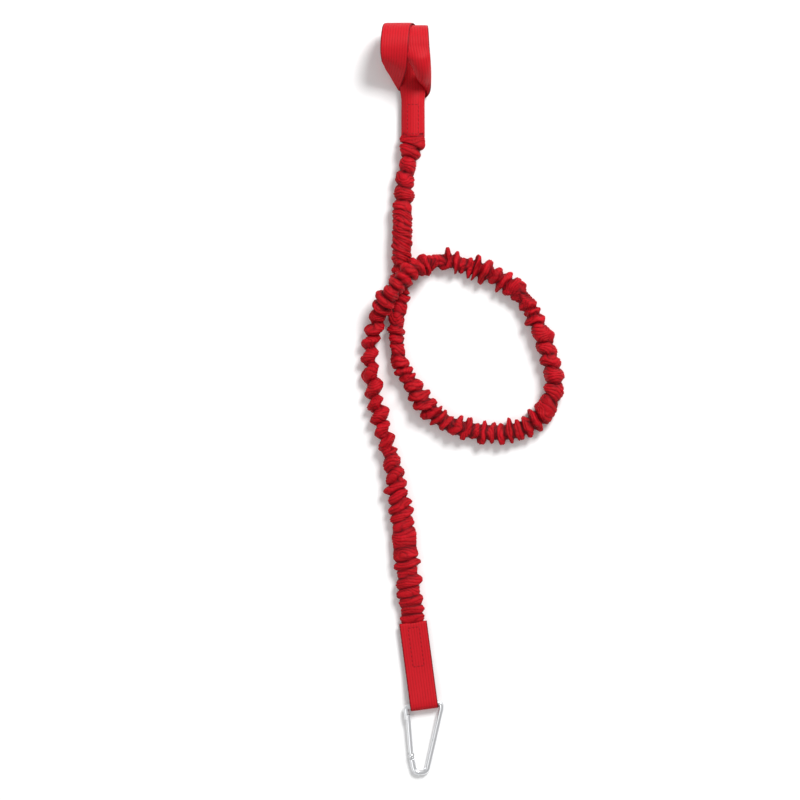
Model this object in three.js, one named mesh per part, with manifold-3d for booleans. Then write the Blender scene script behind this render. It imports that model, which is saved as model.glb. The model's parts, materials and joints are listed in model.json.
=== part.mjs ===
// An elastic safety leash of red nylon, lying on a table.
// One end is a flat webbing loop, girth-hitched round a shaft that isn't part of it.
// A gathered sleeve over an elastic core runs from there in one open loop to a sewn tab,
// and a small snap hook hangs in the fold of that tab.
// Millimetres, +Z up, the table at z = 0. +Y runs from the snap hook to the hitched loop.
import * as THREE from "three";
import { mergeVertices } from "three/addons/utils/BufferGeometryUtils.js";
import Module from "manifold-3d";

const wasm = await Module();
wasm.setup();

// ---- driving dimensions ----
const gap = 0.3; // between pieces that touch
const webbingWidth = 20;
const webbingThickness = 1.2;
const wrapSpacing = 0.5; // air between two wraps of the hitch
const shaftBore = 28; // the shaft that the hitch is drawn up on
const hitchTabLength = 26;
const strapReach = 38; // from the shaft's axis to where the sewn tab begins
const tabArcRadius = 6.4; // how round the hitch's tab is bowed across
const sleeveDiameter = 15;
const sleeveWall = 3.2; // gathered cloth, several folds deep
const coreDiameter = 7;
const tailThickness = 1.2; // the sleeve's end, pressed flat between two plies
const tailLength = 22;
const threadDiameter = 0.6;
const stitchSpacing = 8; // between the two long rows of a box stitch
const stitchRows = [3.5, 31.5]; // the two short rows of the hook tab, from its upper end
const hookTabLength = 63;
const foldClearance = 0.5; // between the hook's bar and the strip folded round it
const rodDiameter = 3.8;
const legClearance = 0.8; // between each edge of the hook's tab and the leg beside it
const hookLength = 48; // from the bar to the middle of the lower bend
const gateDiameter = 3.6;
const knuckleDepth = 35.1; // from the bar down to the rivet
const rivetDiameter = 1.7;
const gateBore = 2;
const springWire = 0.32;

// ---- places ----
const hitchPlace = new THREE.Vector3(-4.1, 251.2, 0); // under the shaft's axis
const barPlace = new THREE.Vector3(9.4, -219.1, 0); // under the middle of the hook tab's fold
const tabTurn = THREE.MathUtils.degToRad(7.6);
// Puts the origin under the middle of the loop, tab and hook, with the lowest edge on the table.
const shift = new THREE.Vector3(-1, 0.8, 0.2);

// ---- materials ----
const cloth = (name, color, roughness) =>
  new THREE.MeshStandardMaterial({ name, color, roughness, metalness: 0 });
const metal = (name, color, roughness) =>
  new THREE.MeshStandardMaterial({ name, color, roughness, metalness: 1 });
const looks = {
  webbing: () => cloth("flat_nylon_webbing", 0xbf1e2b, 0.8),
  sleeve: () => cloth("gathered_nylon_sleeve", 0xb8121f, 0.75),
  core: () => cloth("elastic_core_rubber", 0xd9d4c8, 0.9),
  thread: () => cloth("bonded_nylon_thread", 0x9c1420, 0.6),
  aluminium: () => metal("polished_aluminium", 0xdfe1e4, 0.25),
  steel: () => metal("spring_steel", 0xb9bdc2, 0.35),
};

// ---- helpers ----
const assembly = new THREE.Group();

function piece(name, geometry, material, parent = assembly) {
  const mesh = new THREE.Mesh(geometry, material);
  mesh.name = name;
  parent.add(mesh);
  return mesh;
}

function solidOf(geometry) {
  const bare = geometry.clone();
  bare.deleteAttribute("normal");
  bare.deleteAttribute("uv");
  const merged = mergeVertices(bare, 1e-4);
  return new wasm.Manifold(
    new wasm.Mesh({
      numProp: 3,
      vertProperties: merged.attributes.position.array,
      triVerts: new Uint32Array(merged.index.array),
    }),
  );
}

function geometryOf(solid) {
  const mesh = solid.getMesh();
  const geometry = new THREE.BufferGeometry();
  geometry.setAttribute("position", new THREE.BufferAttribute(new Float32Array(mesh.vertProperties), 3));
  geometry.setIndex(Array.from(mesh.triVerts));
  geometry.computeVertexNormals();
  return geometry;
}

function disc(radius, sides) {
  const outline = new THREE.Shape();
  for (let i = 0; i < sides; i++) {
    const angle = (2 * Math.PI * i) / sides;
    const x = radius * Math.cos(angle);
    const y = radius * Math.sin(angle);
    if (i === 0) outline.moveTo(x, y);
    else outline.lineTo(x, y);
  }
  outline.closePath();
  return outline;
}

function tube(outline, path, steps) {
  return new THREE.ExtrudeGeometry(outline, { extrudePath: path, steps, bevelEnabled: false });
}

// A cylinder between two points.
function roundBar(from, to, radius, sides = 20) {
  const along = new THREE.Vector3().subVectors(to, from);
  const bar = new THREE.CylinderGeometry(radius, radius, along.length(), sides);
  const turn = new THREE.Quaternion().setFromUnitVectors(
    new THREE.Vector3(0, 1, 0),
    along.clone().normalize(),
  );
  bar.applyQuaternion(turn);
  const middle = new THREE.Vector3().addVectors(from, to).multiplyScalar(0.5);
  bar.translate(middle.x, middle.y, middle.z);
  return bar;
}

function block(centre, size, turn = 0) {
  const box = new THREE.BoxGeometry(size.x, size.y, size.z);
  box.rotateZ(turn);
  box.translate(centre.x, centre.y, centre.z);
  return box;
}

// The half angle of an arc whose chord is this share of its length.
function bowAngle(share) {
  let low = 0.001;
  let high = 3;
  for (let i = 0; i < 30; i++) {
    const middle = (low + high) / 2;
    if (Math.sin(middle) / middle > share) low = middle;
    else high = middle;
  }
  return low;
}

// A flat strap swept through stations. Each station has the strap's two edge points, and where
// the edges are nearer than the strap is wide, the strap bows to one side: +1 or -1, 0 for none.
function strap(stations, width, thickness, perStation, across) {
  const edge = (points) => new THREE.CatmullRomCurve3(points, false, "catmullrom", 0.5);
  const left = edge(stations.map((s) => s.left));
  const right = edge(stations.map((s) => s.right));
  const count = (stations.length - 1) * perStation;
  const rows = [];
  for (let i = 0; i <= count; i++) {
    const t = i / count;
    const from = left.getPoint(t);
    const to = right.getPoint(t);
    const ahead = Math.min(1, t + 0.25 / count);
    const behind = Math.max(0, t - 0.25 / count);
    const travel = left.getPoint(ahead).add(right.getPoint(ahead));
    travel.sub(left.getPoint(behind)).sub(right.getPoint(behind));
    const side = new THREE.Vector3().subVectors(to, from);
    const chord = side.length();
    const up = new THREE.Vector3().crossVectors(travel, side).normalize();
    const place = t * (stations.length - 1);
    const before = Math.min(stations.length - 2, Math.floor(place));
    const bow = THREE.MathUtils.lerp(stations[before].bow, stations[before + 1].bow, place - before);
    const half = bowAngle(Math.min(0.9999, chord / width));
    const row = [];
    for (let j = 0; j <= across; j++) {
      const q = (2 * j) / across - 1;
      const lateral = (0.5 + (0.5 * Math.sin(q * half)) / Math.sin(half)) * chord;
      const rise = ((Math.cos(q * half) - Math.cos(half)) / Math.sin(half)) * (chord / 2) * bow;
      row.push(
        from.clone().addScaledVector(side, lateral / chord).addScaledVector(up, rise),
      );
    }
    rows.push(row);
  }
  return thicken(rows, thickness);
}

// A grid of points made into one closed body of even thickness.
function thicken(rows, thickness) {
  const lengthways = rows.length;
  const across = rows[0].length;
  const at = (i, j) => rows[Math.min(lengthways - 1, Math.max(0, i))][Math.min(across - 1, Math.max(0, j))];
  const points = [];
  for (const sign of [1, -1]) {
    for (let i = 0; i < lengthways; i++) {
      for (let j = 0; j < across; j++) {
        const travel = new THREE.Vector3().subVectors(at(i + 1, j), at(i - 1, j));
        const side = new THREE.Vector3().subVectors(at(i, j + 1), at(i, j - 1));
        const normal = travel.cross(side).normalize();
        const point = at(i, j).clone().addScaledVector(normal, (sign * thickness) / 2);
        points.push(point.x, point.y, point.z);
      }
    }
  }
  const layer = lengthways * across;
  const top = (i, j) => i * across + j;
  const under = (i, j) => layer + i * across + j;
  const faces = [];
  const quad = (a, b, c, d) => faces.push(a, b, c, a, c, d);
  for (let i = 0; i < lengthways - 1; i++) {
    for (let j = 0; j < across - 1; j++) {
      quad(top(i, j), top(i + 1, j), top(i + 1, j + 1), top(i, j + 1));
      quad(under(i, j), under(i, j + 1), under(i + 1, j + 1), under(i + 1, j));
    }
    const last = across - 1;
    quad(top(i, 0), under(i, 0), under(i + 1, 0), top(i + 1, 0));
    quad(top(i, last), top(i + 1, last), under(i + 1, last), under(i, last));
  }
  for (let j = 0; j < across - 1; j++) {
    const end = lengthways - 1;
    quad(top(0, j), top(0, j + 1), under(0, j + 1), under(0, j));
    quad(top(end, j), under(end, j), under(end, j + 1), top(end, j + 1));
  }
  const geometry = new THREE.BufferGeometry();
  geometry.setAttribute("position", new THREE.Float32BufferAttribute(points, 3));
  geometry.setIndex(faces);
  geometry.computeVertexNormals();
  return geometry;
}

function v(x, y, z) {
  return new THREE.Vector3(x, y, z);
}

// ---- the hitched loop, in a frame under the shaft's axis ----
// The strap goes under the shaft in two plies, over it in two wraps, and its bight passes under
// the two plies where they come away, so a pull on the tab draws the hitch tight.
const half = webbingWidth / 2;
const layer = webbingThickness / 2;
const innerWrap = shaftBore / 2 + layer;
const outerWrap = innerWrap + webbingThickness + wrapSpacing;
const axisHeight = outerWrap + layer;
const fold = outerWrap + 0.7 * webbingWidth; // how far out the bight lies
const overBight = webbingThickness + gap + layer; // the height of a ply that crosses the bight
const strapMiddle = 5.7; // across, from the middle of the shaft's opening

function around(radius, degrees, x) {
  const angle = THREE.MathUtils.degToRad(degrees);
  return v(x, radius * Math.cos(angle), axisHeight + radius * Math.sin(angle));
}

function level(middle, y, z, reach = half) {
  return [v(middle - reach, y, z), v(middle + reach, y, z)];
}

// The tab is bowed across, so its layers lie on arcs with one centre.
const tabHalfAngle = webbingWidth / 2 / tabArcRadius;
const arcCentre = layer - tabArcRadius * Math.cos(tabHalfAngle);
const pliesApart = webbingThickness + tailThickness + 2 * gap;

function onTab(radius, width, y) {
  const angle = width / 2 / radius;
  const reach = radius * Math.sin(angle);
  return level(strapMiddle, y, arcCentre + radius * Math.cos(angle), reach);
}

const tabStart = -strapReach;
const tabEnd = -strapReach - hitchTabLength;
const upperRadius = tabArcRadius + pliesApart;
const strapFacets = 6; // across the hitched strap
const facetDip = tabArcRadius * (1 - Math.cos(tabHalfAngle / strapFacets)); // inside the arc

function station([left, right], bow = 0) {
  return { left, right, bow };
}

const lowerPly = [
  station(onTab(tabArcRadius, webbingWidth, tabEnd), -1),
  station(onTab(tabArcRadius, webbingWidth, (tabEnd + tabStart) / 2), -1),
  station(onTab(tabArcRadius, webbingWidth, tabStart), -1),
  station(level(5.4, -fold, overBight, 0.88 * half), -1),
  station(level(4.8, -0.72 * fold, overBight, 0.95 * half), -1),
  station(level(4.2, -0.48 * fold, overBight, 0.985 * half), -1),
  station(level(3.4, -0.25 * fold, 1.4)),
];

const leftWrap = [
  station([around(outerWrap, -90, 2.5 - half), around(outerWrap, -90, 2.5 + half)]),
  station([around(outerWrap, -60, 0.8 - half), around(outerWrap, -60, 0.8 + half)]),
  station([around(outerWrap, -30, -1.6 - half), around(outerWrap, -30, -1.6 + half)]),
  station([around(outerWrap, 0, -4.2 - half), around(outerWrap, 0, -4.2 + half)]),
  station([around(outerWrap, 30, -6 - half), around(outerWrap, 30, -6 + half)]),
  station([around(outerWrap, 60, -7 - half), around(outerWrap, 60, -7 + half)]),
  station([around(outerWrap, 88, -7.6 - half), around(outerWrap, 88, -7.6 + half)]),
  station([around(outerWrap, 106, -7.6 - half), around(outerWrap, 122, 1.9)]),
  station([around(outerWrap, 116, -7.4 - half), v(1, -0.56 * fold, axisHeight + 7.6)]),
  station([around(outerWrap, 122, -7.1 - half), v(-1.2, -0.79 * fold, axisHeight - 3.5)]),
];

// The left wrap turns under along a slanting fold and runs to the right, flat on the table.
const bight = [
  station([around(outerWrap, 128, -6.8 - half), v(-3.6, -0.99 * fold, 2.2)]),
  station([around(outerWrap - 0.6, 133, -6.5 - half), v(-4.2, -1.01 * fold, 0.9)]),
  station([around(innerWrap + 0.6, 146, -5.4 - half), v(-3.9, -1.02 * fold, layer)]),
  station([around(innerWrap + 0.7, 182, -4 - half), v(-3, -1.03 * fold, layer)]),
  station([around(1.25 * innerWrap, 214, -2.6 - half), v(-2, -1.04 * fold, layer)]),
  station([v(-1 - half, -0.87 * innerWrap, 1.1), v(-0.7, -1.05 * fold, layer)]),
  station([v(3.5 - half, -0.84 * innerWrap, layer), v(1.6, -1.07 * fold, layer)]),
  station([v(0.8, -0.9 * innerWrap, layer), v(5, -1.1 * fold, layer)]),
  station([v(7.5, -0.98 * innerWrap, layer), v(9.4, -1.15 * fold, layer)]),
  station([v(13.6, -1.02 * innerWrap, layer), v(14, -1.19 * fold, 0.9)]),
];

// It comes up round the right edge of the two plies and bows outwards as it turns to go over.
const rightTurn = [
  station([v(16.2, -1.05 * innerWrap, 3.2), v(17.1, -1.11 * fold, 4)], -1),
  station([v(15.6, -1.08 * innerWrap, 8.4), v(18.4, -0.99 * fold, 9)], -1),
  station([around(innerWrap + 0.8, 180, 11), v(18.6, -0.78 * fold, 16.5)], -1),
  station([around(innerWrap + 0.3, 150, 5), around(1.22 * innerWrap, 146, 18.3)], -1),
  station([around(innerWrap + 0.1, 122, 0.8), around(1.08 * innerWrap, 118, 17.9)], -1),
];

const rightWrap = [92, 62, 31, 0, -30, -60, -90].map((degrees, i) => {
  const middle = 7.4 - 0.4 * i;
  return station([around(innerWrap, degrees, middle - half), around(innerWrap, degrees, middle + half)]);
});

const raise = webbingThickness + wrapSpacing;
const upperPly = [
  station(level(4.8, -0.25 * fold, 1.4 + raise)),
  station(level(5, -0.48 * fold, overBight + raise + 0.5, 0.985 * half), 1),
  station(level(5.3, -0.72 * fold, overBight + raise + 1, 0.95 * half), 1),
  station(level(5.6, -fold, overBight + raise + 1.6, 0.92 * half), 1),
  station(onTab(upperRadius, webbingWidth, tabStart), 1),
  station(onTab(upperRadius, webbingWidth, (tabEnd + tabStart) / 2), 1),
  station(onTab(upperRadius, webbingWidth, tabEnd), 1),
];

const hitch = new THREE.Group();
hitch.position.copy(hitchPlace);
assembly.add(hitch);

const loopStations = [...lowerPly, ...leftWrap, ...bight, ...rightTurn, ...rightWrap, ...upperPly];
const loopStrap = strap(loopStations, webbingWidth, webbingThickness, 3, strapFacets);
piece("hitch_loop_webbing", loopStrap, looks.webbing(), hitch);

// ---- the sleeve's flat ends ----
const tailWidth = webbingWidth - 4; // clear of the webbing's edges
const tailRadius = tabArcRadius + pliesApart / 2;
const hitchTail = [0, 0.5, 1].map((share) =>
  station(onTab(tailRadius, tailWidth, tabEnd + gap + share * tailLength), -1),
);
piece("sleeve_end_at_hitch", strap(hitchTail, tailWidth, tailThickness, 2, 6), looks.sleeve(), hitch);

// ---- box stitches: one closed run of thread on each face ----
function threadLoop(points) {
  const path = new THREE.CatmullRomCurve3(points, true, "catmullrom", 0.1);
  return new THREE.TubeGeometry(path, points.length * 3, threadDiameter / 2, 6, true);
}

const threadLift = layer + gap / 2 + threadDiameter / 2;
const hitchStitch = { top: tabEnd + hitchTabLength - 3, bottom: tabEnd + 2 };

function hitchThread(radius) {
  const reach = stitchSpacing / 2 / radius;
  const at = (share, y) =>
    v(
      strapMiddle + radius * Math.sin(share * reach),
      y,
      arcCentre + radius * Math.cos(share * reach),
    );
  const { top, bottom } = hitchStitch;
  const rise = top - bottom;
  const points = [];
  for (const share of [-1, -0.5, 0, 0.5]) points.push(at(share, bottom));
  for (const part of [0, 0.25, 0.5, 0.75]) points.push(at(1, bottom + part * rise));
  for (const share of [1, 0.5, 0, -0.5]) points.push(at(share, top));
  for (const part of [0, 0.25, 0.5, 0.75]) points.push(at(-1, top - part * rise));
  return threadLoop(points);
}

piece("hitch_needle_thread", hitchThread(upperRadius + threadLift), looks.thread(), hitch);
piece("hitch_bobbin_thread", hitchThread(tabArcRadius - threadLift - facetDip), looks.thread(), hitch);

// ---- the sleeve and its core ----
// The route runs from the hitched loop's tab, once round an open loop, over itself in a long
// low hump, and down to the hook's tab.
const low = sleeveDiameter / 2;
const route = [
  [1.6, 186.6, low],
  [1.2, 181, low],
  [-0.9, 173, low],
  [-5.6, 140, low],
  [-6.1, 118, low],
  [-7.6, 70, low],
  [-10.1, 53, low],
  [-9.6, 34, low],
  [-3.8, 17.5, low],
  [6.2, 1.2, low],
  [18.5, -12, low],
  [34, -20.9, low],
  [70, -24, low],
  [85, -18.6, low],
  [96.1, -8.6, low],
  [102, 5, low],
  [101.4, 22, low],
  [95.4, 41, low],
  [87.5, 60, low],
  [78.8, 74, low],
  [66, 84.2, low],
  [50, 91.9, low],
  [36, 96.6, low],
  [24, 98.6, 7.9],
  [13.5, 98, 11.8],
  [5.5, 95, 17.8],
  [-1, 90.8, 22.4],
  [-6, 85, 23.4],
  [-12, 77.5, 22.8],
  [-18.2, 69.5, 19],
  [-23.5, 59, 12.8],
  [-27.2, 45.5, 8.4],
  [-29, 28, low],
  [-26.2, 4, low],
  [-20, -21.5, low],
  [-13.2, -47, low],
  [-6.8, -84, low],
  [-1.6, -132, low],
  [0.3, -149, low],
  [1.2, -158.4, low],
].map(([x, y, z]) => v(x, y, z));
const sleevePath = new THREE.CatmullRomCurve3(route, false, "centripetal");
const sleeveSteps = 72;

const sleeveSection = disc(sleeveDiameter / 2, 12);
sleeveSection.holes.push(disc(sleeveDiameter / 2 - sleeveWall, 8));
piece("gathered_sleeve", tube(sleeveSection, sleevePath, sleeveSteps), looks.sleeve());
piece("elastic_core", tube(disc(coreDiameter / 2, 8), sleevePath, sleeveSteps), looks.core());

// ---- the hook's tab: one strip folded round the hook's bar ----
const foldRadius = rodDiameter / 2 + foldClearance + layer;
const barHeight = layer + foldRadius;
const hookTab = new THREE.Group();
hookTab.position.set(barPlace.x, barPlace.y, 0);
hookTab.rotation.z = tabTurn;
assembly.add(hookTab);

const tabTop = hookTabLength - foldRadius - layer;
const threadRoom = threadDiameter + gap; // the sewn plies lie this far off the table
const sewnHeight = layer + threadRoom;
const upperHeight = sewnHeight + pliesApart;
const sewnFoot = tabTop - stitchRows[1] - 1; // the plies lie flat and parallel above this

function hookStation(y, z) {
  return station([v(-half, y, z), v(half, y, z)]);
}

const foldStations = [60, 30, 0, -30, -60].map((degrees) => {
  const angle = THREE.MathUtils.degToRad(degrees);
  return hookStation(-foldRadius * Math.cos(angle), barHeight + foldRadius * Math.sin(angle));
});
const hookPlies = [
  hookStation(tabTop, upperHeight),
  hookStation((tabTop + sewnFoot) / 2, upperHeight),
  hookStation(sewnFoot, upperHeight),
  hookStation(0.5 * sewnFoot, (upperHeight + barHeight + foldRadius) / 2),
  hookStation(0.12 * sewnFoot, barHeight + foldRadius),
  hookStation(0, barHeight + foldRadius),
  ...foldStations,
  hookStation(0, layer),
  hookStation(0.12 * sewnFoot, layer),
  hookStation(0.5 * sewnFoot, layer),
  hookStation(0.6 * sewnFoot, layer),
  hookStation(0.8 * sewnFoot, sewnHeight),
  hookStation(sewnFoot, sewnHeight),
  hookStation((tabTop + sewnFoot) / 2, sewnHeight),
  hookStation(tabTop, sewnHeight),
];
const foldedStrip = strap(hookPlies, webbingWidth, webbingThickness, 3, 2);
piece("hook_tab_webbing", foldedStrip, looks.webbing(), hookTab);

const tailMiddle = (upperHeight + sewnHeight) / 2;
piece(
  "sleeve_end_at_hook",
  block(v(0, tabTop - gap - tailLength / 2, tailMiddle), v(tailWidth, tailLength, tailThickness)),
  looks.sleeve(),
  hookTab,
);

function hookThread(z) {
  const reach = stitchSpacing / 2;
  const top = tabTop - stitchRows[0];
  const bottom = tabTop - stitchRows[1];
  const rise = top - bottom;
  const points = [];
  for (const share of [-1, -0.5, 0, 0.5]) points.push(v(share * reach, bottom, z));
  for (const part of [0, 0.25, 0.5, 0.75]) points.push(v(reach, bottom + part * rise, z));
  for (const share of [1, 0.5, 0, -0.5]) points.push(v(share * reach, top, z));
  for (const part of [0, 0.25, 0.5, 0.75]) points.push(v(-reach, top - part * rise, z));
  return threadLoop(points);
}

piece("hook_needle_thread", hookThread(upperHeight + threadLift), looks.thread(), hookTab);
piece("hook_bobbin_thread", hookThread(sewnHeight - threadLift), looks.thread(), hookTab);

// ---- the snap hook, in a frame at the middle of its bar, its length along -Y ----
// It tips down until its lower bend rests on the table, just clear of it.
const bendClearance = 0.05;
const drop = Math.asin((barHeight - rodDiameter / 2 - bendClearance) / hookLength);
const hook = new THREE.Group();
hook.position.set(0, 0, barHeight);
hook.rotation.x = drop;
hookTab.add(hook);

const rod = rodDiameter / 2;
const hookWidth = webbingWidth + rodDiameter + 2 * legClearance; // between the legs' centres
const hookOffset = -0.4; // the hook hangs a little to the gate's side of the strip
const noseSide = hookOffset - hookWidth / 2;
const spineSide = hookOffset + hookWidth / 2;
const knuckle = v(noseSide - 0.7, -knuckleDepth, 0);
const noseEnd = v(noseSide, -9.3, 0);
const noseSplit = -5.3; // below this only the outer half of the nose is left

// A path of straight runs with a rounded corner at each inner point.
function rounded(corners, radii) {
  const path = new THREE.Path();
  path.moveTo(corners[0].x, corners[0].y);
  for (let i = 1; i < corners.length - 1; i++) {
    const into = new THREE.Vector2().subVectors(corners[i], corners[i - 1]).normalize();
    const out = new THREE.Vector2().subVectors(corners[i + 1], corners[i]).normalize();
    const turn = Math.atan2(into.cross(out), into.dot(out));
    const cut = radii[i - 1] * Math.tan(Math.abs(turn) / 2);
    const start = corners[i].clone().addScaledVector(into, -cut);
    const sign = Math.sign(turn);
    const centre = start.clone().add(new THREE.Vector2(-into.y, into.x).multiplyScalar(sign * radii[i - 1]));
    const from = Math.atan2(start.y - centre.y, start.x - centre.x);
    path.lineTo(start.x, start.y);
    path.absarc(centre.x, centre.y, radii[i - 1], from, from + turn, turn < 0);
  }
  const last = corners[corners.length - 1];
  path.lineTo(last.x, last.y);
  return path;
}

class FlatCurve extends THREE.Curve {
  constructor(path) {
    super();
    this.path = path;
  }
  getPoint(t, target = new THREE.Vector3()) {
    const point = this.path.getPointAt(t);
    return target.set(point.x, point.y, 0);
  }
}

const rivetToRod = rod + 0.7; // the round rod stops this far short of the rivet
const bendWidth = 8.6; // between the two corners of the lower bend
const legFoot = new THREE.Vector2(noseSide + 0.2, -hookLength);
const legUp = new THREE.Vector2(knuckle.x, knuckle.y).sub(legFoot).normalize();
const rodEnd = new THREE.Vector2(knuckle.x, knuckle.y).addScaledVector(legUp, -rivetToRod);
const frameCorners = [
  new THREE.Vector2(noseEnd.x, noseEnd.y),
  new THREE.Vector2(noseSide, 0),
  new THREE.Vector2(spineSide, 0),
  new THREE.Vector2(spineSide - 0.2, -foldRadius - webbingThickness),
  new THREE.Vector2(legFoot.x + bendWidth, -hookLength),
  legFoot,
  rodEnd,
];
const frameRadii = [2.2, 2.2, 3, 4.2, 4.2];
const framePath = new FlatCurve(rounded(frameCorners, frameRadii));
let frame = solidOf(tube(disc(rod, 14), framePath, 90));

// The nose keeps its outer half, which the closed gate rests against.
frame = frame.subtract(
  solidOf(block(v(noseSide - 0.2 + rodDiameter / 2, noseSplit - 5, 0), v(rodDiameter, 10, 2 * rodDiameter))),
);

// The tongue at the rivet, with the cam that the plunger rides on.
const tongueThickness = 1.5;
const camRise = 0.6;
const gateOpen = 28; // degrees, as far as the gate turns
const camTop = 60;
const camEnd = 90;
const gateTip = v(noseSide + 0.9, noseSplit - gap, 0);
const gateUp = new THREE.Vector3().subVectors(gateTip, knuckle);
const gateLength = gateUp.length();
gateUp.normalize();
const gateAngle = Math.atan2(gateUp.y, gateUp.x);

function camRadius(degrees) {
  if (degrees > camEnd) return rod;
  if (degrees < gateOpen) return rod + (camRise * degrees) / gateOpen;
  if (degrees < camTop) return rod + camRise;
  return rod + (camRise * (camEnd - degrees)) / (camEnd - camTop);
}

const cam = new THREE.Shape();
for (let degrees = 0; degrees < 360; degrees += 10) {
  const angle = gateAngle - THREE.MathUtils.degToRad(degrees);
  const x = camRadius(degrees) * Math.cos(angle);
  const y = camRadius(degrees) * Math.sin(angle);
  if (degrees === 0) cam.moveTo(x, y);
  else cam.lineTo(x, y);
}
cam.closePath();
const camPlate = new THREE.ExtrudeGeometry(cam, { depth: tongueThickness, bevelEnabled: false });
camPlate.translate(knuckle.x, knuckle.y, -tongueThickness / 2);
const shankLength = rivetToRod + 1.5;
const shankMiddle = new THREE.Vector2(knuckle.x, knuckle.y).addScaledVector(legUp, -shankLength / 2);
const shank = block(
  v(shankMiddle.x, shankMiddle.y, 0),
  v(1.9 * rod, shankLength, tongueThickness),
  Math.atan2(legUp.y, legUp.x) - Math.PI / 2,
);
const rivetHole = rivetDiameter / 2 + gap / 2;
const up = v(0, 0, 1);
const alongRivet = (reach) => [
  knuckle.clone().addScaledVector(up, -reach),
  knuckle.clone().addScaledVector(up, reach),
];
frame = frame.add(solidOf(camPlate)).add(solidOf(shank));
frame = frame.subtract(solidOf(roundBar(...alongRivet(rodDiameter), rivetHole, 16)));
piece("hook_frame", geometryOf(frame), looks.aluminium(), hook);

// ---- the gate ----
const gateRadius = gateDiameter / 2;
const onGate = (distance) => knuckle.clone().addScaledVector(gateUp, distance);
const slotDepth = rod + camRise + 0.4;
const slotWidth = tongueThickness + 2 * gap;
let gate = solidOf(roundBar(onGate(0), onGate(gateLength), gateRadius));
gate = gate.add(solidOf(roundBar(...alongRivet(gateRadius), gateRadius, 24)));
gate = gate.subtract(
  solidOf(
    block(onGate(slotDepth / 2 - 2), v(2 * rodDiameter, slotDepth + 4, slotWidth), gateAngle - Math.PI / 2),
  ),
);
const boreEnd = 16;
gate = gate.subtract(solidOf(roundBar(onGate(slotDepth - 0.5), onGate(boreEnd), gateBore / 2, 16)));
gate = gate.subtract(solidOf(roundBar(...alongRivet(rodDiameter), rivetHole, 16)));
const lipInner = noseSide - 0.2 + gap;
gate = gate.subtract(
  solidOf(block(v(lipInner - rodDiameter, noseEnd.y - gap + 5, 0), v(2 * rodDiameter, 10, 2 * rodDiameter))),
);
piece("hook_gate", geometryOf(gate), looks.aluminium(), hook);

// ---- rivet, plunger and spring ----
const headRadius = 1.45;
const headInner = gateRadius + gap / 2;
const headOuter = headInner + 0.3;
const rivetProfile = [
  [0, -headOuter],
  [headRadius - 0.2, -headOuter],
  [headRadius, -headInner],
  [rivetDiameter / 2, -headInner],
  [rivetDiameter / 2, headInner],
  [headRadius, headInner],
  [headRadius - 0.2, headOuter],
  [0, headOuter],
].map(([x, y]) => new THREE.Vector2(x, y));
const rivet = new THREE.LatheGeometry(rivetProfile, 16);
rivet.rotateX(Math.PI / 2);
rivet.translate(knuckle.x, knuckle.y, 0);
piece("gate_rivet", rivet, looks.aluminium(), hook);

const plungerRadius = gateBore / 2 - 0.15;
const plungerTip = rod + gap;
const plungerLength = 4;
const plungerProfile = [new THREE.Vector2(0, 0)];
for (let i = 1; i <= 4; i++) {
  const angle = (i * Math.PI) / 8;
  plungerProfile.push(
    new THREE.Vector2(plungerRadius * Math.sin(angle), plungerRadius * (1 - Math.cos(angle))),
  );
}
plungerProfile.push(new THREE.Vector2(plungerRadius, plungerLength));
plungerProfile.push(new THREE.Vector2(0, plungerLength));
const plunger = new THREE.LatheGeometry(plungerProfile, 14);
plunger.rotateZ(gateAngle - Math.PI / 2);
const plungerAt = onGate(plungerTip);
plunger.translate(plungerAt.x, plungerAt.y, plungerAt.z);
piece("gate_plunger", plunger, looks.steel(), hook);

class Helix extends THREE.Curve {
  constructor(radius, length, turns) {
    super();
    Object.assign(this, { radius, length, turns });
  }
  getPoint(t, target = new THREE.Vector3()) {
    const angle = 2 * Math.PI * this.turns * t;
    return target.set(this.radius * Math.cos(angle), this.length * t, this.radius * Math.sin(angle));
  }
}

const springTurns = 8;
const springFoot = plungerTip + plungerLength + camRise + gap;
const springLength = boreEnd - gap - springWire - springFoot;
const coil = new Helix(gateBore / 2 - 0.15 - springWire / 2, springLength, springTurns);
const spring = tube(disc(springWire / 2, 6), coil, springTurns * 10);
spring.rotateZ(gateAngle - Math.PI / 2);
const springAt = onGate(springFoot + springWire / 2);
spring.translate(springAt.x, springAt.y, springAt.z);
piece("gate_spring", spring, looks.steel(), hook);

assembly.position.copy(shift);
export default assembly;
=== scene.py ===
# %% [markdown]
# # A red elastic safety leash
# The leash has five kinds of thing in it: flat nylon webbing, a thin nylon sleeve gathered over
# an elastic core, sewing thread, a small aluminium snap hook, and the hook's steel spring.
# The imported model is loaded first. It fixes every place and size, and nothing here moves it.

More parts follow.
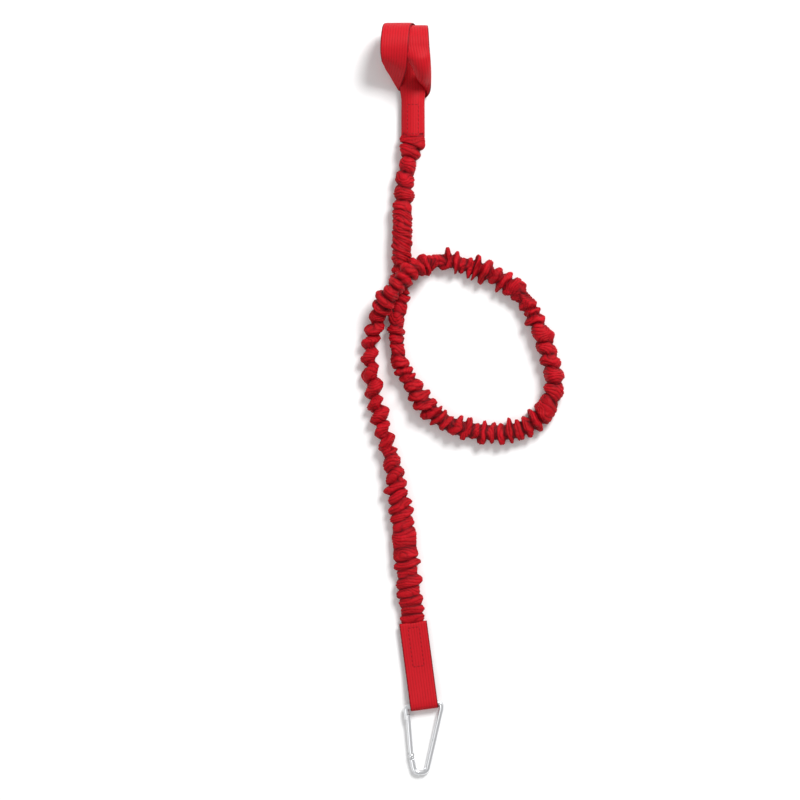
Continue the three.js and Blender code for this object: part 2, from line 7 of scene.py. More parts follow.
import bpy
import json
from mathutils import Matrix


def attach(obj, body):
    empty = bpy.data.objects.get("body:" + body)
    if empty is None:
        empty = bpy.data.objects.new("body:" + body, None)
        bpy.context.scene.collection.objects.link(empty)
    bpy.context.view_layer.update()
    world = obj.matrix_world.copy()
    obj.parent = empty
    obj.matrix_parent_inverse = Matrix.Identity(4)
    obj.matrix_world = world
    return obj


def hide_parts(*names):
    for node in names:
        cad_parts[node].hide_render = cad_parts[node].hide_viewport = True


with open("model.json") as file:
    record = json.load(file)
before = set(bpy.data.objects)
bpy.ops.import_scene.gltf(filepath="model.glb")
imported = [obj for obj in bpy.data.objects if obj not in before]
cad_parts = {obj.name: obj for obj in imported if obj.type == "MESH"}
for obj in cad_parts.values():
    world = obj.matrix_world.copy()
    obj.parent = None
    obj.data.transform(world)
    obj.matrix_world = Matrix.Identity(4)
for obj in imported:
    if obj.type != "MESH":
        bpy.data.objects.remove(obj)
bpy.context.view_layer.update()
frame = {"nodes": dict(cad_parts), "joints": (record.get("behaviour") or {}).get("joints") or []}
print("nodes:", ", ".join(sorted(frame["nodes"])))

# %% Tools used all through
import json
import math

import bmesh
import bpy
import numpy as np
from mathutils import Matrix, Vector

MM = 0.001


def linear(hex_colour):
    """An sRGB hex colour as linear RGBA."""
    parts = [int(hex_colour[i:i + 2], 16) / 255 for i in (0, 2, 4)]
    return [p / 12.92 if p <= 0.04045 else ((p + 0.055) / 1.055) ** 2.4 for p in parts] + [1.0]


print("mid grey in linear light:", round(linear("808080")[0], 3))

# %% [markdown]
# ## The camera
# The leash is seen from straight above, from far enough away that the view is nearly parallel.
# A long lens does that: the width of the view and the distance give the focal length.

# %% Camera
VIEW_WIDTH = 572 * MM
VIEW_CENTRE = Vector((-8.7 * MM, -0.3 * MM, 8 * MM))
CAMERA_HEIGHT = 4.5
SENSOR = 36.0

camera_data = bpy.data.cameras.new("camera")
camera_data.sensor_width = SENSOR
camera_data.lens = SENSOR * CAMERA_HEIGHT / VIEW_WIDTH
camera = bpy.data.objects.new("camera", camera_data)
camera.location = VIEW_CENTRE + Vector((0, 0, CAMERA_HEIGHT))
bpy.context.scene.collection.objects.link(camera)
bpy.context.scene.camera = camera
print("lens", round(camera_data.lens, 1), "mm")

# %% [markdown]
# ## Where the two tabs are
# The sleeve starts in one sewn tab and ends in the other, so their places come before its route.
# The hook's swing joint gives the place and turn of the bar that the hook's tab is folded round.

# %% Places of the tabs
HITCH = np.array([-5.1, 252.0, 0.2])  # the hitch's own place on the table
swing = next(j for j in frame["joints"] if j["name"] == "hook_swing")
BAR = np.array(swing["pos_m"]) / MM
BAR_TURN = math.atan2(-swing["axis"][1], -swing["axis"][0])
WIDTH, THICK = 20.0, 1.2  # the webbing
PLIES_APART = 3.0  # from the middle of one ply to the middle of the other
STRAP_MIDDLE = 5.7  # how far the hitch's tab is to the right of the hitch's middle
TAB_RADIUS = 6.4  # how round the hitch's tab is bowed across
ARC_CENTRE = THICK / 2 - TAB_RADIUS * math.cos(WIDTH / 2 / TAB_RADIUS)
TAB_END, TAB_START = -64.0, -38.0
TAB_TOP = 59.4  # from the bar to the end of the hook's tab
STITCH_FOOT, STITCH_TOP = TAB_TOP - 31.5, TAB_TOP - 3.5
SEWN_FOOT = STITCH_FOOT - 1  # where the two plies of the hook's tab come together
SEWN_HEIGHT, BAR_HEIGHT, FOLD_RADIUS = 1.5, 3.6, 3.0
TAIL = 20.0  # how much of the sleeve is pressed flat in each tab
TUCK = 3.0  # how far the sleeve's mouth goes in between the plies


def on_hitch_tab(radius, across, y):
    """A place on the bowed surface of this radius through the hitch's tab."""
    angle = across / radius
    return HITCH + [STRAP_MIDDLE + radius * math.sin(angle), y, ARC_CENTRE + radius * math.cos(angle)]


def on_hook_tab(x, y, z):
    """A place on the hook's tab, given from its bar as across, along and up."""
    cos, sin = math.cos(BAR_TURN), math.sin(BAR_TURN)
    return np.array([BAR[0] + x * cos - y * sin, BAR[1] + x * sin + y * cos, BAR[2] - BAR_HEIGHT + z])


print("bar at", BAR.round(2), "turned", round(math.degrees(BAR_TURN), 2), "degrees")

# %% [markdown]
# ## The sleeve's route
# The sleeve is a free cord. It runs from the hitched loop's tab down the table, once round an
# open loop, over itself in a long low hump, and on to the hook's tab. The route is the packed
# model's own, point for point, as a centripetal Catmull-Rom curve, which doesn't overshoot where
# points are close together.

# %% Route
LOW = 7.5  # half the sleeve's diameter
SHIFT = np.array([-1.0, 0.8, 0.2])  # the assembly's own place on the table
ROUTE = np.array([
    (1.6, 186.6, LOW), (1.2, 181, LOW), (-0.9, 173, LOW), (-5.6, 140, LOW),
    (-6.1, 118, LOW), (-7.6, 70, LOW), (-10.1, 53, LOW), (-9.6, 34, LOW),
    (-3.8, 17.5, LOW), (6.2, 1.2, LOW), (18.5, -12, LOW), (34, -20.9, LOW),
    (70, -24, LOW), (85, -18.6, LOW), (96.1, -8.6, LOW), (102, 5, LOW), (101.4, 22, LOW),
    (95.4, 41, LOW), (87.5, 60, LOW), (78.8, 74, LOW), (66, 84.2, LOW), (50, 91.9, LOW),
    (36, 96.6, LOW), (24, 98.6, 7.9), (13.5, 98, 11.8), (5.5, 95, 17.8), (-1, 90.8, 22.4),
    (-6, 85, 23.4), (-12, 77.5, 22.8), (-18.2, 69.5, 19), (-23.5, 59, 12.8), (-27.2, 45.5, 8.4),
    (-29, 28, LOW), (-26.2, 4, LOW), (-20, -21.5, LOW), (-13.2, -47, LOW), (-6.8, -84, LOW),
    (-1.6, -132, LOW), (0.3, -149, LOW), (1.2, -158.4, LOW),
]) + SHIFT


def centripetal(points, per_span):
    """A centripetal Catmull-Rom curve through the points."""
    ends = np.vstack([2 * points[0] - points[1], points, 2 * points[-1] - points[-2]])
    out = []
    for i in range(1, len(ends) - 2):
        p = ends[i - 1:i + 3]
        t = np.cumsum([0, *np.sqrt(np.linalg.norm(np.diff(p, axis=0), axis=1))])
        for u in np.linspace(t[1], t[2], per_span, endpoint=False):
            a = [(p[k] * (t[k + 1] - u) + p[k + 1] * (u - t[k])) / (t[k + 1] - t[k]) for k in range(3)]
            b = [(a[k] * (t[k + 2] - u) + a[k + 1] * (u - t[k])) / (t[k + 2] - t[k]) for k in range(2)]
            out.append((b[0] * (t[2] - u) + b[1] * (u - t[1])) / (t[2] - t[1]))
    out.append(points[-1])
    return np.array(out)


def evenly(points, step):
    """The same line with its points a fixed step apart."""
    along = np.cumsum([0, *np.linalg.norm(np.diff(points, axis=0), axis=1)])
    count = max(2, round(along[-1] / step) + 1)
    at = np.linspace(0, along[-1], count)
    return np.column_stack([np.interp(at, along, points[:, k]) for k in range(3)]), at


STEP = 0.4  # millimetres between rings of the sleeve
mouth_at_hitch = on_hitch_tab(TAB_RADIUS + PLIES_APART / 2, 0, TAB_END + TUCK)
mouth_at_hook = on_hook_tab(0, TAB_TOP - TUCK, SEWN_HEIGHT + PLIES_APART / 2)
whole_route = np.vstack([mouth_at_hitch, centripetal(ROUTE, 24), mouth_at_hook])
centreline, along = evenly(whole_route, STEP)
print("the sleeve's length:", round(along[-1], 1), "mm")

# %% [markdown]
# ## How the gathers differ along the sleeve
# A thin cloth tube pushed together on an elastic can't shrink, so it folds outwards in rings. How
# the folds look depends on how the tube is twisted and how hard it is gathered just there. The
# table gives, at points along the sleeve: the fold spacing, the radius of the crests and of the
# necks between them, how thin the folds are (0 round lumps, 1 sharp fins), how far they wind
# round the core as a screw (0 rings, 1 a screw), how they slant, how flat the tube lies, and how
# much the folds stick out in ears at the sides.

# %% Gather table
GATHERS = np.array([
    # mm, pitch, crest, neck, thin, screw, slant, flat, ears, wild
    (0, 8.0, 7.9, 7.4, 0.0, 0, 0.0, 0.16, 0.0, 0.2),
    (4, 8.0, 9.2, 7.4, 0.0, 0, 0.0, 0.45, 0.0, 0.4),
    (9, 8.5, 10.0, 6.4, 0.0, 0, 0.15, 0.62, 0.0, 0.6),
    (16, 9.6, 7.2, 4.9, 0.0, 0, 0.12, 0.95, 0.0, 0.5),
    (50, 9.8, 7.2, 4.9, 0.0, 0, 0.14, 0.95, 0.0, 0.5),
    (55, 6.0, 7.2, 5.6, 0.0, 0, 0.10, 1.0, 0.0, 0.3),
    (60, 4.4, 7.5, 6.7, 0.0, 0, 0.45, 1.0, 0.0, 0.2),
    (88, 4.4, 7.2, 6.4, 0.0, 0, 0.50, 1.0, 0.0, 0.25),
    (96, 5.4, 6.8, 5.2, 0.2, 0, 0.45, 1.0, 0.1, 0.7),
    (112, 6.4, 6.8, 4.8, 0.3, 0, 0.40, 1.0, 0.3, 1.0),
    (126, 7.5, 6.0, 4.5, 0.1, 0, 0.20, 1.0, 0.0, 0.7),
    (154, 7.6, 5.8, 4.4, 0.0, 0, 0.20, 1.0, 0.1, 0.7),
    (176, 7.8, 6.5, 4.3, 0.2, 0, 0.35, 1.0, 0.3, 0.9),
    (204, 7.4, 6.9, 4.6, 0.5, 0, 0.25, 0.95, 0.7, 1.0),
    (229, 6.4, 6.6, 5.3, 0.9, 0, 0.05, 0.92, 1.2, 1.1),
    (266, 6.4, 6.5, 5.3, 0.9, 0, 0.0, 0.92, 1.2, 1.1),
    (289, 8.0, 6.9, 4.6, 0.5, 0, 0.20, 0.95, 0.6, 1.0),
    (302, 13.0, 7.2, 5.0, 0.0, 0, 0.30, 1.0, 0.0, 0.6),
    (349, 9.4, 6.9, 4.4, 0.1, 0, 0.30, 1.0, 0.2, 0.9),
    (399, 8.0, 6.8, 4.5, 0.4, 0, 0.15, 0.95, 0.7, 1.1),
    (424, 7.2, 6.6, 4.4, 0.6, 0, -0.15, 0.95, 1.3, 1.7),
    (459, 7.6, 6.5, 4.3, 0.5, 0, -0.20, 0.95, 1.3, 1.7),
    (478, 6.6, 6.9, 4.8, 0.3, 0, 0.0, 1.0, 0.4, 1.0),
    (508, 6.8, 7.0, 4.8, 0.2, 0, 0.05, 1.0, 0.2, 1.0),
    (518, 9.0, 6.7, 4.3, 0.0, 0, 0.10, 1.0, 0.0, 0.8),
    (522, 10.7, 5.8, 3.2, 0.0, 1, 0.10, 1.0, 0.0, 0.6),
    (616, 10.7, 5.8, 3.2, 0.0, 1, 0.10, 1.0, 0.0, 0.6),
    (620, 9.6, 6.7, 4.2, 0.0, 0, -0.15, 0.98, 0.0, 0.8),
    (640, 7.8, 7.2, 4.8, 0.1, 0, -0.34, 0.86, 0.0, 0.8),
    (659, 7.4, 8.1, 6.0, 0.1, 0, -0.32, 0.70, 0.0, 0.7),
    (674, 7.2, 8.6, 6.8, 0.0, 0, -0.22, 0.64, 0.0, 0.5),
    (678, 13.0, 8.7, 8.3, 0.0, 0, -0.10, 0.62, 0.0, 0.2),
    (688, 13.0, 8.8, 8.3, 0.0, 0, -0.05, 0.62, 0.0, 0.2),
    (693, 6.6, 8.9, 7.0, 0.1, 0, -0.12, 0.60, 0.0, 0.7),
    (710, 7.0, 9.0, 7.0, 0.1, 0, -0.16, 0.58, 0.0, 0.8),
    (728, 5.8, 9.0, 7.3, 0.0, 0, -0.05, 0.56, 0.0, 0.6),
    (738, 6.2, 8.8, 7.4, 0.0, 0, 0.0, 0.40, 0.0, 0.3),
    (745, 6.2, 8.0, 7.6, 0.0, 0, 0.0, 0.14, 0.0, 0.1),
])
GATHER_COLUMNS = ("pitch", "crest", "neck", "thin", "screw", "slant", "flat", "ears", "wild")


def eased(values, width):
    """A running mean, so that one kind of fold passes into the next."""
    kernel = np.hanning(width)
    padded = np.pad(values, width // 2, mode="edge")
    return np.convolve(padded, kernel / kernel.sum(), mode="same")[width // 2:width // 2 + len(values)]


scaled = along * GATHERS[-1, 0] / along[-1]
gather = {
    name: eased(np.interp(scaled, GATHERS[:, 0], GATHERS[:, 1 + k]), 9)
    for k, name in enumerate(GATHER_COLUMNS)
}
print("folds:", round(float(np.sum(STEP / gather["pitch"]))))

# %% [markdown]
# ## Building the gathered sleeve
# The cloth is one closed tube of rings of points. A cloth simulation of a long tube needs far more
# steps than its look is worth, so the folds are built straight into the rings. Each gets its own
# height, tilt and lean from seeded random numbers, because no two real folds are alike.

# %% Soft noise on the sleeve
AROUND = 64  # points round each ring
theta = np.linspace(0, 2 * math.pi, AROUND, endpoint=False)


def soft_noise(length, cells, seed):
    """Smooth noise on the sleeve: cells of this length along it and this many round it."""
    rows = int(along[-1] / length) + 4
    grid = np.random.default_rng(seed).normal(size=(rows, cells))
    i, part = np.divmod(along / length, 1)
    j, share = np.divmod(theta / (2 * math.pi) * cells, 1)
    i, j = i.astype(int), j.astype(int)
    part = (part * part * (3 - 2 * part))[:, None]
    share = (share * share * (3 - 2 * share))[None, :]
    beside = (j + 1) % cells
    first = grid[i][:, j] * (1 - share) + grid[i][:, beside] * share
    second = grid[i + 1][:, j] * (1 - share) + grid[i + 1][:, beside] * share
    return first * (1 - part) + second * part


print("soft noise spreads by", soft_noise(10, 6, 1).std().round(2))

# %% [markdown]
# ### The folds
# Counting the folds from the first mouth gives every point a place in the row: whole numbers are
# crests and halves are valleys. A soft gather stands up in round lumps and a tight one in thin
# fingers. Thin cloth also wrinkles within each fold, in a coarse and a fine set of creases.

# %% Places of the folds
DRIFT_LENGTH = 14  # millimetres over which the spacing drifts
rng = np.random.default_rng(17)
column = {name: values[:, None] for name, values in gather.items()}
knots = np.arange(0, along[-1] + DRIFT_LENGTH, DRIFT_LENGTH)
drift = gather["wild"] * np.interp(along, knots, rng.normal(0, 0.24, len(knots)))
counted = np.cumsum(STEP / gather["pitch"]) + drift - 0.75
lean = column["slant"] * column["crest"] * np.cos(theta) / column["pitch"]
wander = column["wild"] * (0.12 * soft_noise(11, 4, 3) + 0.08 * soft_noise(5, 8, 4))
ring_place = counted[:, None] + lean + wander
screw_place = ring_place + theta / (2 * math.pi)
print("first and last fold:", round(counted[0], 2), round(counted[-1], 2))

# %% Shape of the folds
fold_count = int(counted[-1]) + 12
draws = np.column_stack([
    np.clip(rng.normal(0, 1, fold_count), -2, 1.6),  # how tall
    rng.uniform(0, 6.28, fold_count),  # which side is tallest
    rng.uniform(0, 1, fold_count),  # how long its ears are
    rng.uniform(-1, 1, fold_count),  # how far it tips along the sleeve
    rng.uniform(0, 6.28, fold_count),  # where its rim waves
])


def fold_shape(place):
    """From 0 in a valley to 1 on a crest, then how tall the fold is there, then how far it tips."""
    number = np.clip(np.round(place).astype(int) + 4, 0, fold_count - 1)
    offset = place - np.round(place)
    lump = (1 - np.abs(2 * offset) ** (2.2 + 1.2 * column["screw"])) ** (0.8 - 0.25 * column["screw"])
    finger = np.clip(1 - np.abs(offset / 0.31) ** 2.6, 0, 1) ** 0.45
    shape = lump * (1 - column["thin"]) + finger * column["thin"]
    height, swing, ear, tip, wave = draws[number].transpose(2, 0, 1)
    uneven = 0.12 * height + 0.14 * np.cos(theta - swing) + 0.09 * np.cos(2 * theta - wave)
    uneven = uneven + 0.07 * np.cos(3 * theta - 2 * swing - wave)
    side_on = np.abs(np.cos(theta - 0.5 * tip)) ** 4
    ears = 0.3 * column["ears"] * (0.4 + 0.6 * ear) * side_on
    return shape, 1 + column["wild"] * uneven + ears, tip


shape, tall, tip = (
    as_ring * (1 - column["screw"]) + as_screw * column["screw"]
    for as_ring, as_screw in zip(fold_shape(ring_place), fold_shape(screw_place))
)
swell = np.maximum((column["crest"] * tall - column["neck"]) * shape, 0.1)
print("tallest fold stands", swell.max().round(1), "mm out of the neck")

# %% Creases
COARSE_CREASE = 3.1  # millimetres from groove to groove
FINE_CREASE = 1.9
coarse = np.sin(math.pi * (along[:, None] / COARSE_CREASE + 1.9 * lean + 1.1 * soft_noise(7, 5, 7)))
fine = np.sin(math.pi * (along[:, None] / FINE_CREASE + 2.6 * lean + 1.3 * soft_noise(4, 7, 8)))
groove = (1 - np.abs(coarse)) ** 2.2
fine_groove = (1 - np.abs(fine)) ** 2
crease = 0.8 * groove + 0.25 * fine_groove - 0.2 * soft_noise(2.4, 14, 5)
# Painted shade: from 0, the darkest painted shade deep in a valley or a crease groove, to 1, the plain
# dye on a crest.
sleeve_painted_shade = np.clip(0.22 + 0.85 * shape ** 0.75 - 0.55 * groove - 0.2 * fine_groove, 0, 1)
print("deepest crease:", crease.max().round(2), "mm")

# %% [markdown]
# ### Laying the sleeve down
# Where the folds are small the sleeve lies lower, so that it still rests on the table or on the
# strand that it crosses. What would go through the table is pressed flat on it. Each point keeps
# how deep in a fold and in a crease it lies, because shade is painted darker there.

# %% Middle line of the sleeve
FLOOR_GAP = 0.35  # the cloth's own thickness off the table
SWAY = 1.1  # how far a screw of folds pulls the middle line out of straight
CROSSING_DROP = 3.3  # how far the upper strand sinks on to the lower one
tangent = np.gradient(centreline, axis=0)
tangent /= np.linalg.norm(tangent, axis=1)[:, None]
side = np.cross(tangent, [0, 0, 1])
side /= np.linalg.norm(side, axis=1)[:, None]
over = np.cross(side, tangent)
rest = np.clip(LOW + SHIFT[2] - FLOOR_GAP - gather["crest"] * gather["flat"], 0, None)
hump = np.clip((centreline[:, 2] - 8) / 15, 0, 1)
lowered = (rest * (1 - hump) + CROSSING_DROP * hump) * np.clip(along / 15 - 0.2, 0, 1)
sleeve_core = centreline - np.outer(lowered, [0, 0, 1])
turn = 2 * math.pi * counted[:, None]
sleeve_core = sleeve_core + SWAY * column["screw"] * (np.cos(turn) * side - np.sin(turn) * over)
print("the sleeve's middle sinks by up to", lowered.max().round(1), "mm")

# %% Rings of the sleeve
MOST_RADIUS = 10.4  # no fold stands further out than this
radius = np.minimum(column["neck"] + swell - crease * (0.3 + 0.7 * shape), MOST_RADIUS)
forward = 0.9 * column["wild"] * tip * shape * column["pitch"] / 8
sleeve_grid = sleeve_core[:, None, :] + (radius * np.cos(theta))[..., None] * side[:, None, :]
sleeve_grid = sleeve_grid + (radius * np.sin(theta) * column["flat"])[..., None] * over[:, None, :]
sleeve_grid = sleeve_grid + forward[..., None] * tangent[:, None, :]
under = sleeve_grid[..., 2] - FLOOR_GAP
sleeve_grid[..., 2] = FLOOR_GAP + np.where(under < 1, np.exp(np.minimum(under, 1) - 1), under)
print("sleeve:", len(sleeve_grid), "rings of", AROUND)

# %% Mesh tools
def new_object(name, points, faces, smooth=True):
    """A mesh object from points in metres."""
    mesh = bpy.data.meshes.new(name)
    mesh.from_pydata([tuple(p) for p in points], [], faces)
    mesh.polygons.foreach_set("use_smooth", [smooth] * len(mesh.polygons))
    mesh.update()
    made = bpy.data.objects.new(name, mesh)
    bpy.context.scene.collection.objects.link(made)
    return made


def tube_faces(rings, sides, first=0, caps=True, inside_out=False):
    """The faces of a tube whose points run ring by ring from the first one."""
    faces = []
    for i in range(rings - 1):
        a, b = first + i * sides, first + (i + 1) * sides
        for k in range(sides):
            beside = (k + 1) % sides
            faces.append((a + k, a + beside, b + beside, b + k))
    if caps:
        last = first + (rings - 1) * sides
        faces += [tuple(range(first + sides - 1, first - 1, -1)), tuple(range(last, last + sides))]
    return [(face[0], *face[:0:-1]) for face in faces] if inside_out else faces


def tube(name, grid):
    """A tube through a grid of rings in millimetres, each end closed round a point in its middle."""
    rings, sides = grid.shape[:2]
    points = np.vstack([grid.reshape(-1, 3), grid[0].mean(axis=0), grid[-1].mean(axis=0)]) * MM
    faces = tube_faces(rings, sides, caps=False)
    middle, last = rings * sides, (rings - 1) * sides
    faces += [(middle, (k + 1) % sides, k) for k in range(sides)]
    faces += [(middle + 1, last + k, last + (k + 1) % sides) for k in range(sides)]
    return new_object(name, points, faces)


print("a tube of 2 rings of 3 has", len(tube_faces(2, 3)), "faces")

# %% Sleeve
sleeve = tube("gathered_sleeve_cloth", sleeve_grid)
# The painted shade goes on the sleeve's points, for its colour to read.
painted_fold_shade = sleeve.data.attributes.new("painted_fold_shade", "FLOAT", "POINT")
painted_fold_shade.data.foreach_set("value", [*sleeve_painted_shade.ravel(), 0.5, 0.5])
sleeve_path = (evenly(sleeve_core, 6)[0] * MM).tolist()
path_length = float(np.linalg.norm(np.diff(sleeve_path, axis=0), axis=1).sum())
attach(sleeve, "leash")
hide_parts("gathered_sleeve")
print("sleeve path:", round(path_length, 3), "m")

# %% [markdown]
# ## The elastic core and the pressed ends
# A bundle of latex strands runs down the middle of the sleeve. It is out of sight, so a plain
# round body of its size stands for it. At each tab the empty end of the sleeve is pressed flat
# between the two plies of webbing and sewn through, so only its pleated edge shows.

# %% Elastic core
CORE_RADIUS = 2.9
CORE_STOPS = 35  # rings of the sleeve that are empty at each end
CORE_SIDES = 16
core_places, _ = evenly(sleeve_core[CORE_STOPS:-CORE_STOPS], 3)
core_across = np.cross(np.gradient(core_places, axis=0), [0, 0, 1])
core_across /= np.linalg.norm(core_across, axis=1)[:, None]
core_turn = np.linspace(0, 2 * math.pi, CORE_SIDES, endpoint=False)
core_grid = core_places[:, None, :] + CORE_RADIUS * (
    np.cos(core_turn)[None, :, None] * core_across[:, None, :]
    + 0.9 * np.sin(core_turn)[None, :, None] * np.array([0, 0, 1]))
core = tube("latex_core", core_grid)
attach(core, "leash")
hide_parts("elastic_core")
print("core:", len(core_places), "rings of", CORE_SIDES)

# %% Pressed ends of the sleeve
END_HALF_WIDTH = 8
END_INSET = 0.3  # how far the end stays inside the tab's own edge
END_ROWS, END_COLUMNS = 30, 49


def pressed_end(name, node, places):
    """A flat, finely pleated tongue of sleeve. places(across, share) is its middle surface in mm."""
    points = []
    for i in range(END_ROWS):
        for sign in (1, -1):
            for q in np.linspace(-sign, sign, END_COLUMNS):
                pleat = 0.18 * math.sin(14 * math.pi * q + 0.7 * math.sin(i / 4))
                thick = 0.42 * (1 - q ** 8) ** 0.5
                middle = places(q * END_HALF_WIDTH, i / (END_ROWS - 1))
                points.append((middle + [0, 0, sign * thick + pleat]) * MM)
    made = new_object(name, points, tube_faces(END_ROWS, 2 * END_COLUMNS))
    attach(made, "leash")
    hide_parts(node)
    return made


def place_at_hitch(across, share):
    return on_hitch_tab(TAB_RADIUS + PLIES_APART / 2, across, TAB_END + END_INSET + share * TAIL)


def place_at_hook(across, share):
    return on_hook_tab(across, TAB_TOP - END_INSET - share * TAIL, SEWN_HEIGHT + PLIES_APART / 2)


hitch_end = pressed_end("pressed_sleeve_end_at_hitch", "sleeve_end_at_hitch", place_at_hitch)
hook_end = pressed_end("pressed_sleeve_end_at_hook", "sleeve_end_at_hook", place_at_hook)
print("pressed ends:", 2 * END_ROWS * END_COLUMNS, "points each")

# %% [markdown]
# ## The webbing
# Both ends are flat woven nylon, 20 mm wide and a little over 1 mm thick. A strap is a ruled
# ribbon: where its two edges go, the middle follows. So each strap is a list of stations with
# the two edge points, and where the edges come nearer than the width, the strap bows to a side.
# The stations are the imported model's own, swept more finely and with soft selvedges.

# %% Strap tools
def station(left, right, bow=0):
    """One station of a strap: its left edge, its right edge, and which way it bows."""
    return [*left, *right, bow]


def level(middle, y, z, reach=WIDTH / 2, bow=0):
    return station((middle - reach, y, z), (middle + reach, y, z), bow)


def uniform_curve(points, per_span):
    """A uniform Catmull-Rom curve through the rows of numbers."""
    ends = np.vstack([2 * points[0] - points[1], points, 2 * points[-1] - points[-2]])
    out = []
    for i in range(1, len(ends) - 2):
        p0, p1, p2, p3 = ends[i - 1:i + 3]
        for t in np.linspace(0, 1, per_span, endpoint=False):
            out.append(0.5 * (2 * p1 + (p2 - p0) * t + (2 * p0 - 5 * p1 + 4 * p2 - p3) * t ** 2
                              + (3 * p1 - p0 - 3 * p2 + p3) * t ** 3))
    return np.array(out + [points[-1]])


def bow_angle(share):
    """The half angle of an arc whose chord is this share of its length."""
    low, high = 0.001, 3.0
    for _ in range(30):
        middle = (low + high) / 2
        low, high = (middle, high) if math.sin(middle) / middle > share else (low, middle)
    return low


def strap(name, stations, place, per_station=9, across=22):
    """A closed body of webbing through the stations, with a map in millimetres for its weave."""
    table = np.array(stations, dtype=float)
    edges = uniform_curve(table[:, :6], per_station)
    bows = np.interp(np.linspace(0, len(table) - 1, len(edges)), np.arange(len(table)), table[:, 6])
    travel = np.gradient(edges[:, :3] + edges[:, 3:], axis=0)
    q = np.sin(np.linspace(-1, 1, across + 1) * math.pi / 2)
    rows = []
    for edge, bow, ahead in zip(edges, bows, travel):
        side = edge[3:] - edge[:3]
        chord = np.linalg.norm(side)
        up = np.cross(ahead, side)
        up /= np.linalg.norm(up)
        half = bow_angle(min(0.9999, chord / WIDTH))
        lateral = (0.5 + 0.5 * np.sin(q * half) / math.sin(half))[:, None] * side
        rise = (np.cos(q * half) - math.cos(half)) / math.sin(half) * chord / 2 * bow
        rows.append(edge[:3] + lateral + rise[:, None] * up)
    rows = np.array(rows)
    normal = np.cross(np.gradient(rows, axis=0), np.gradient(rows, axis=1))
    normal /= np.linalg.norm(normal, axis=2)[..., None]
    selvedge = THICK / 2 * np.sqrt(1 - 0.93 * np.abs(q) ** 16)[None, :, None]
    top, under = rows + normal * selvedge, rows - normal * selvedge
    ring = np.concatenate([top, under[:, ::-1]], axis=1)
    long, sides = ring.shape[:2]
    points = np.array([place(*p) for p in ring.reshape(-1, 3)]) * MM
    made = new_object(name, points, tube_faces(long, sides, inside_out=True))
    lengths = np.cumsum([0, *np.linalg.norm(np.diff(rows.mean(axis=1), axis=0), axis=1)])
    widths = np.concatenate([q, q[::-1]]) * WIDTH / 2
    layer = made.data.uv_layers.new(name="weave")
    for loop in made.data.loops:
        i, j = divmod(loop.vertex_index, sides)
        layer.data[loop.index].uv = (widths[j], lengths[i])
    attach(made, "leash")
    print(name, "length", round(lengths[-1], 1), "mm")
    return made


print("a deep bow turns", round(math.degrees(bow_angle(0.9))), "degrees a side")

# %% [markdown]
# ### The hitched loop
# The strap goes under the shaft in two plies, over it in two wraps, and its bight passes under
# the two plies where they come away. A pull on the tab draws it tight: a girth hitch.

# %% Hitched loop
INNER, OUTER = 14.6, 16.3  # the radii of the two wraps
HALF, LAYER = WIDTH / 2, THICK / 2
AXIS = OUTER + LAYER  # how high the shaft's axis is
FOLD = OUTER + 0.7 * WIDTH  # how far below the shaft the bight reaches
OVER_BIGHT = THICK + 0.3 + LAYER  # the height of a ply that lies on the bight
RAISE = THICK + 0.5  # how much higher the upper ply is
TAB_MIDDLE = (TAB_END + TAB_START) / 2


def around(radius, degrees, x):
    """A place on a circle round the shaft."""
    angle = math.radians(degrees)
    return x, radius * math.cos(angle), AXIS + radius * math.sin(angle)


def on_tab(radius, y, bow):
    angle = HALF / radius
    return level(STRAP_MIDDLE, y, ARC_CENTRE + radius * math.cos(angle), radius * math.sin(angle), bow)


def wrap(radius, degrees, middle):
    return station(around(radius, degrees, middle - HALF), around(radius, degrees, middle + HALF))


TAB_ROWS = (TAB_END, TAB_MIDDLE, TAB_START)
lower_ply = [on_tab(TAB_RADIUS, y, -1) for y in TAB_ROWS] + [
    level(5.4, -FOLD, OVER_BIGHT, 0.88 * HALF, -1),
    level(4.8, -0.72 * FOLD, OVER_BIGHT, 0.95 * HALF, -1),
    level(4.2, -0.48 * FOLD, OVER_BIGHT, 0.985 * HALF, -1),
    level(3.4, -0.25 * FOLD, 1.4),
]
left_wrap = [wrap(OUTER, degrees, middle) for degrees, middle in (
    (-90, 2.5), (-60, 0.8), (-30, -1.6), (0, -4.2), (30, -6), (60, -7), (88, -7.6))] + [
    station(around(OUTER, 106, -7.6 - HALF), around(OUTER, 122, 1.9)),
    station(around(OUTER, 116, -7.4 - HALF), (1, -0.56 * FOLD, AXIS + 7.6)),
    station(around(OUTER, 122, -7.1 - HALF), (-1.2, -0.79 * FOLD, AXIS - 3.5)),
]
bight = [
    station(around(OUTER, 128, -6.8 - HALF), (-3.6, -0.99 * FOLD, 2.2)),
    station(around(OUTER - 0.6, 133, -6.5 - HALF), (-4.2, -1.01 * FOLD, 0.9)),
    station(around(INNER + 0.6, 146, -5.4 - HALF), (-3.9, -1.02 * FOLD, LAYER)),
    station(around(INNER + 0.7, 182, -4 - HALF), (-3, -1.03 * FOLD, LAYER)),
    station(around(1.25 * INNER, 214, -2.6 - HALF), (-2, -1.04 * FOLD, LAYER)),
    station((-1 - HALF, -0.87 * INNER, 1.1), (-0.7, -1.05 * FOLD, LAYER)),
    station((3.5 - HALF, -0.84 * INNER, LAYER), (1.6, -1.07 * FOLD, LAYER)),
    station((0.8, -0.9 * INNER, LAYER), (5, -1.1 * FOLD, LAYER)),
    station((7.5, -0.98 * INNER, LAYER), (9.4, -1.15 * FOLD, LAYER)),
    station((13.6, -1.02 * INNER, LAYER), (14, -1.19 * FOLD, 0.9)),
]
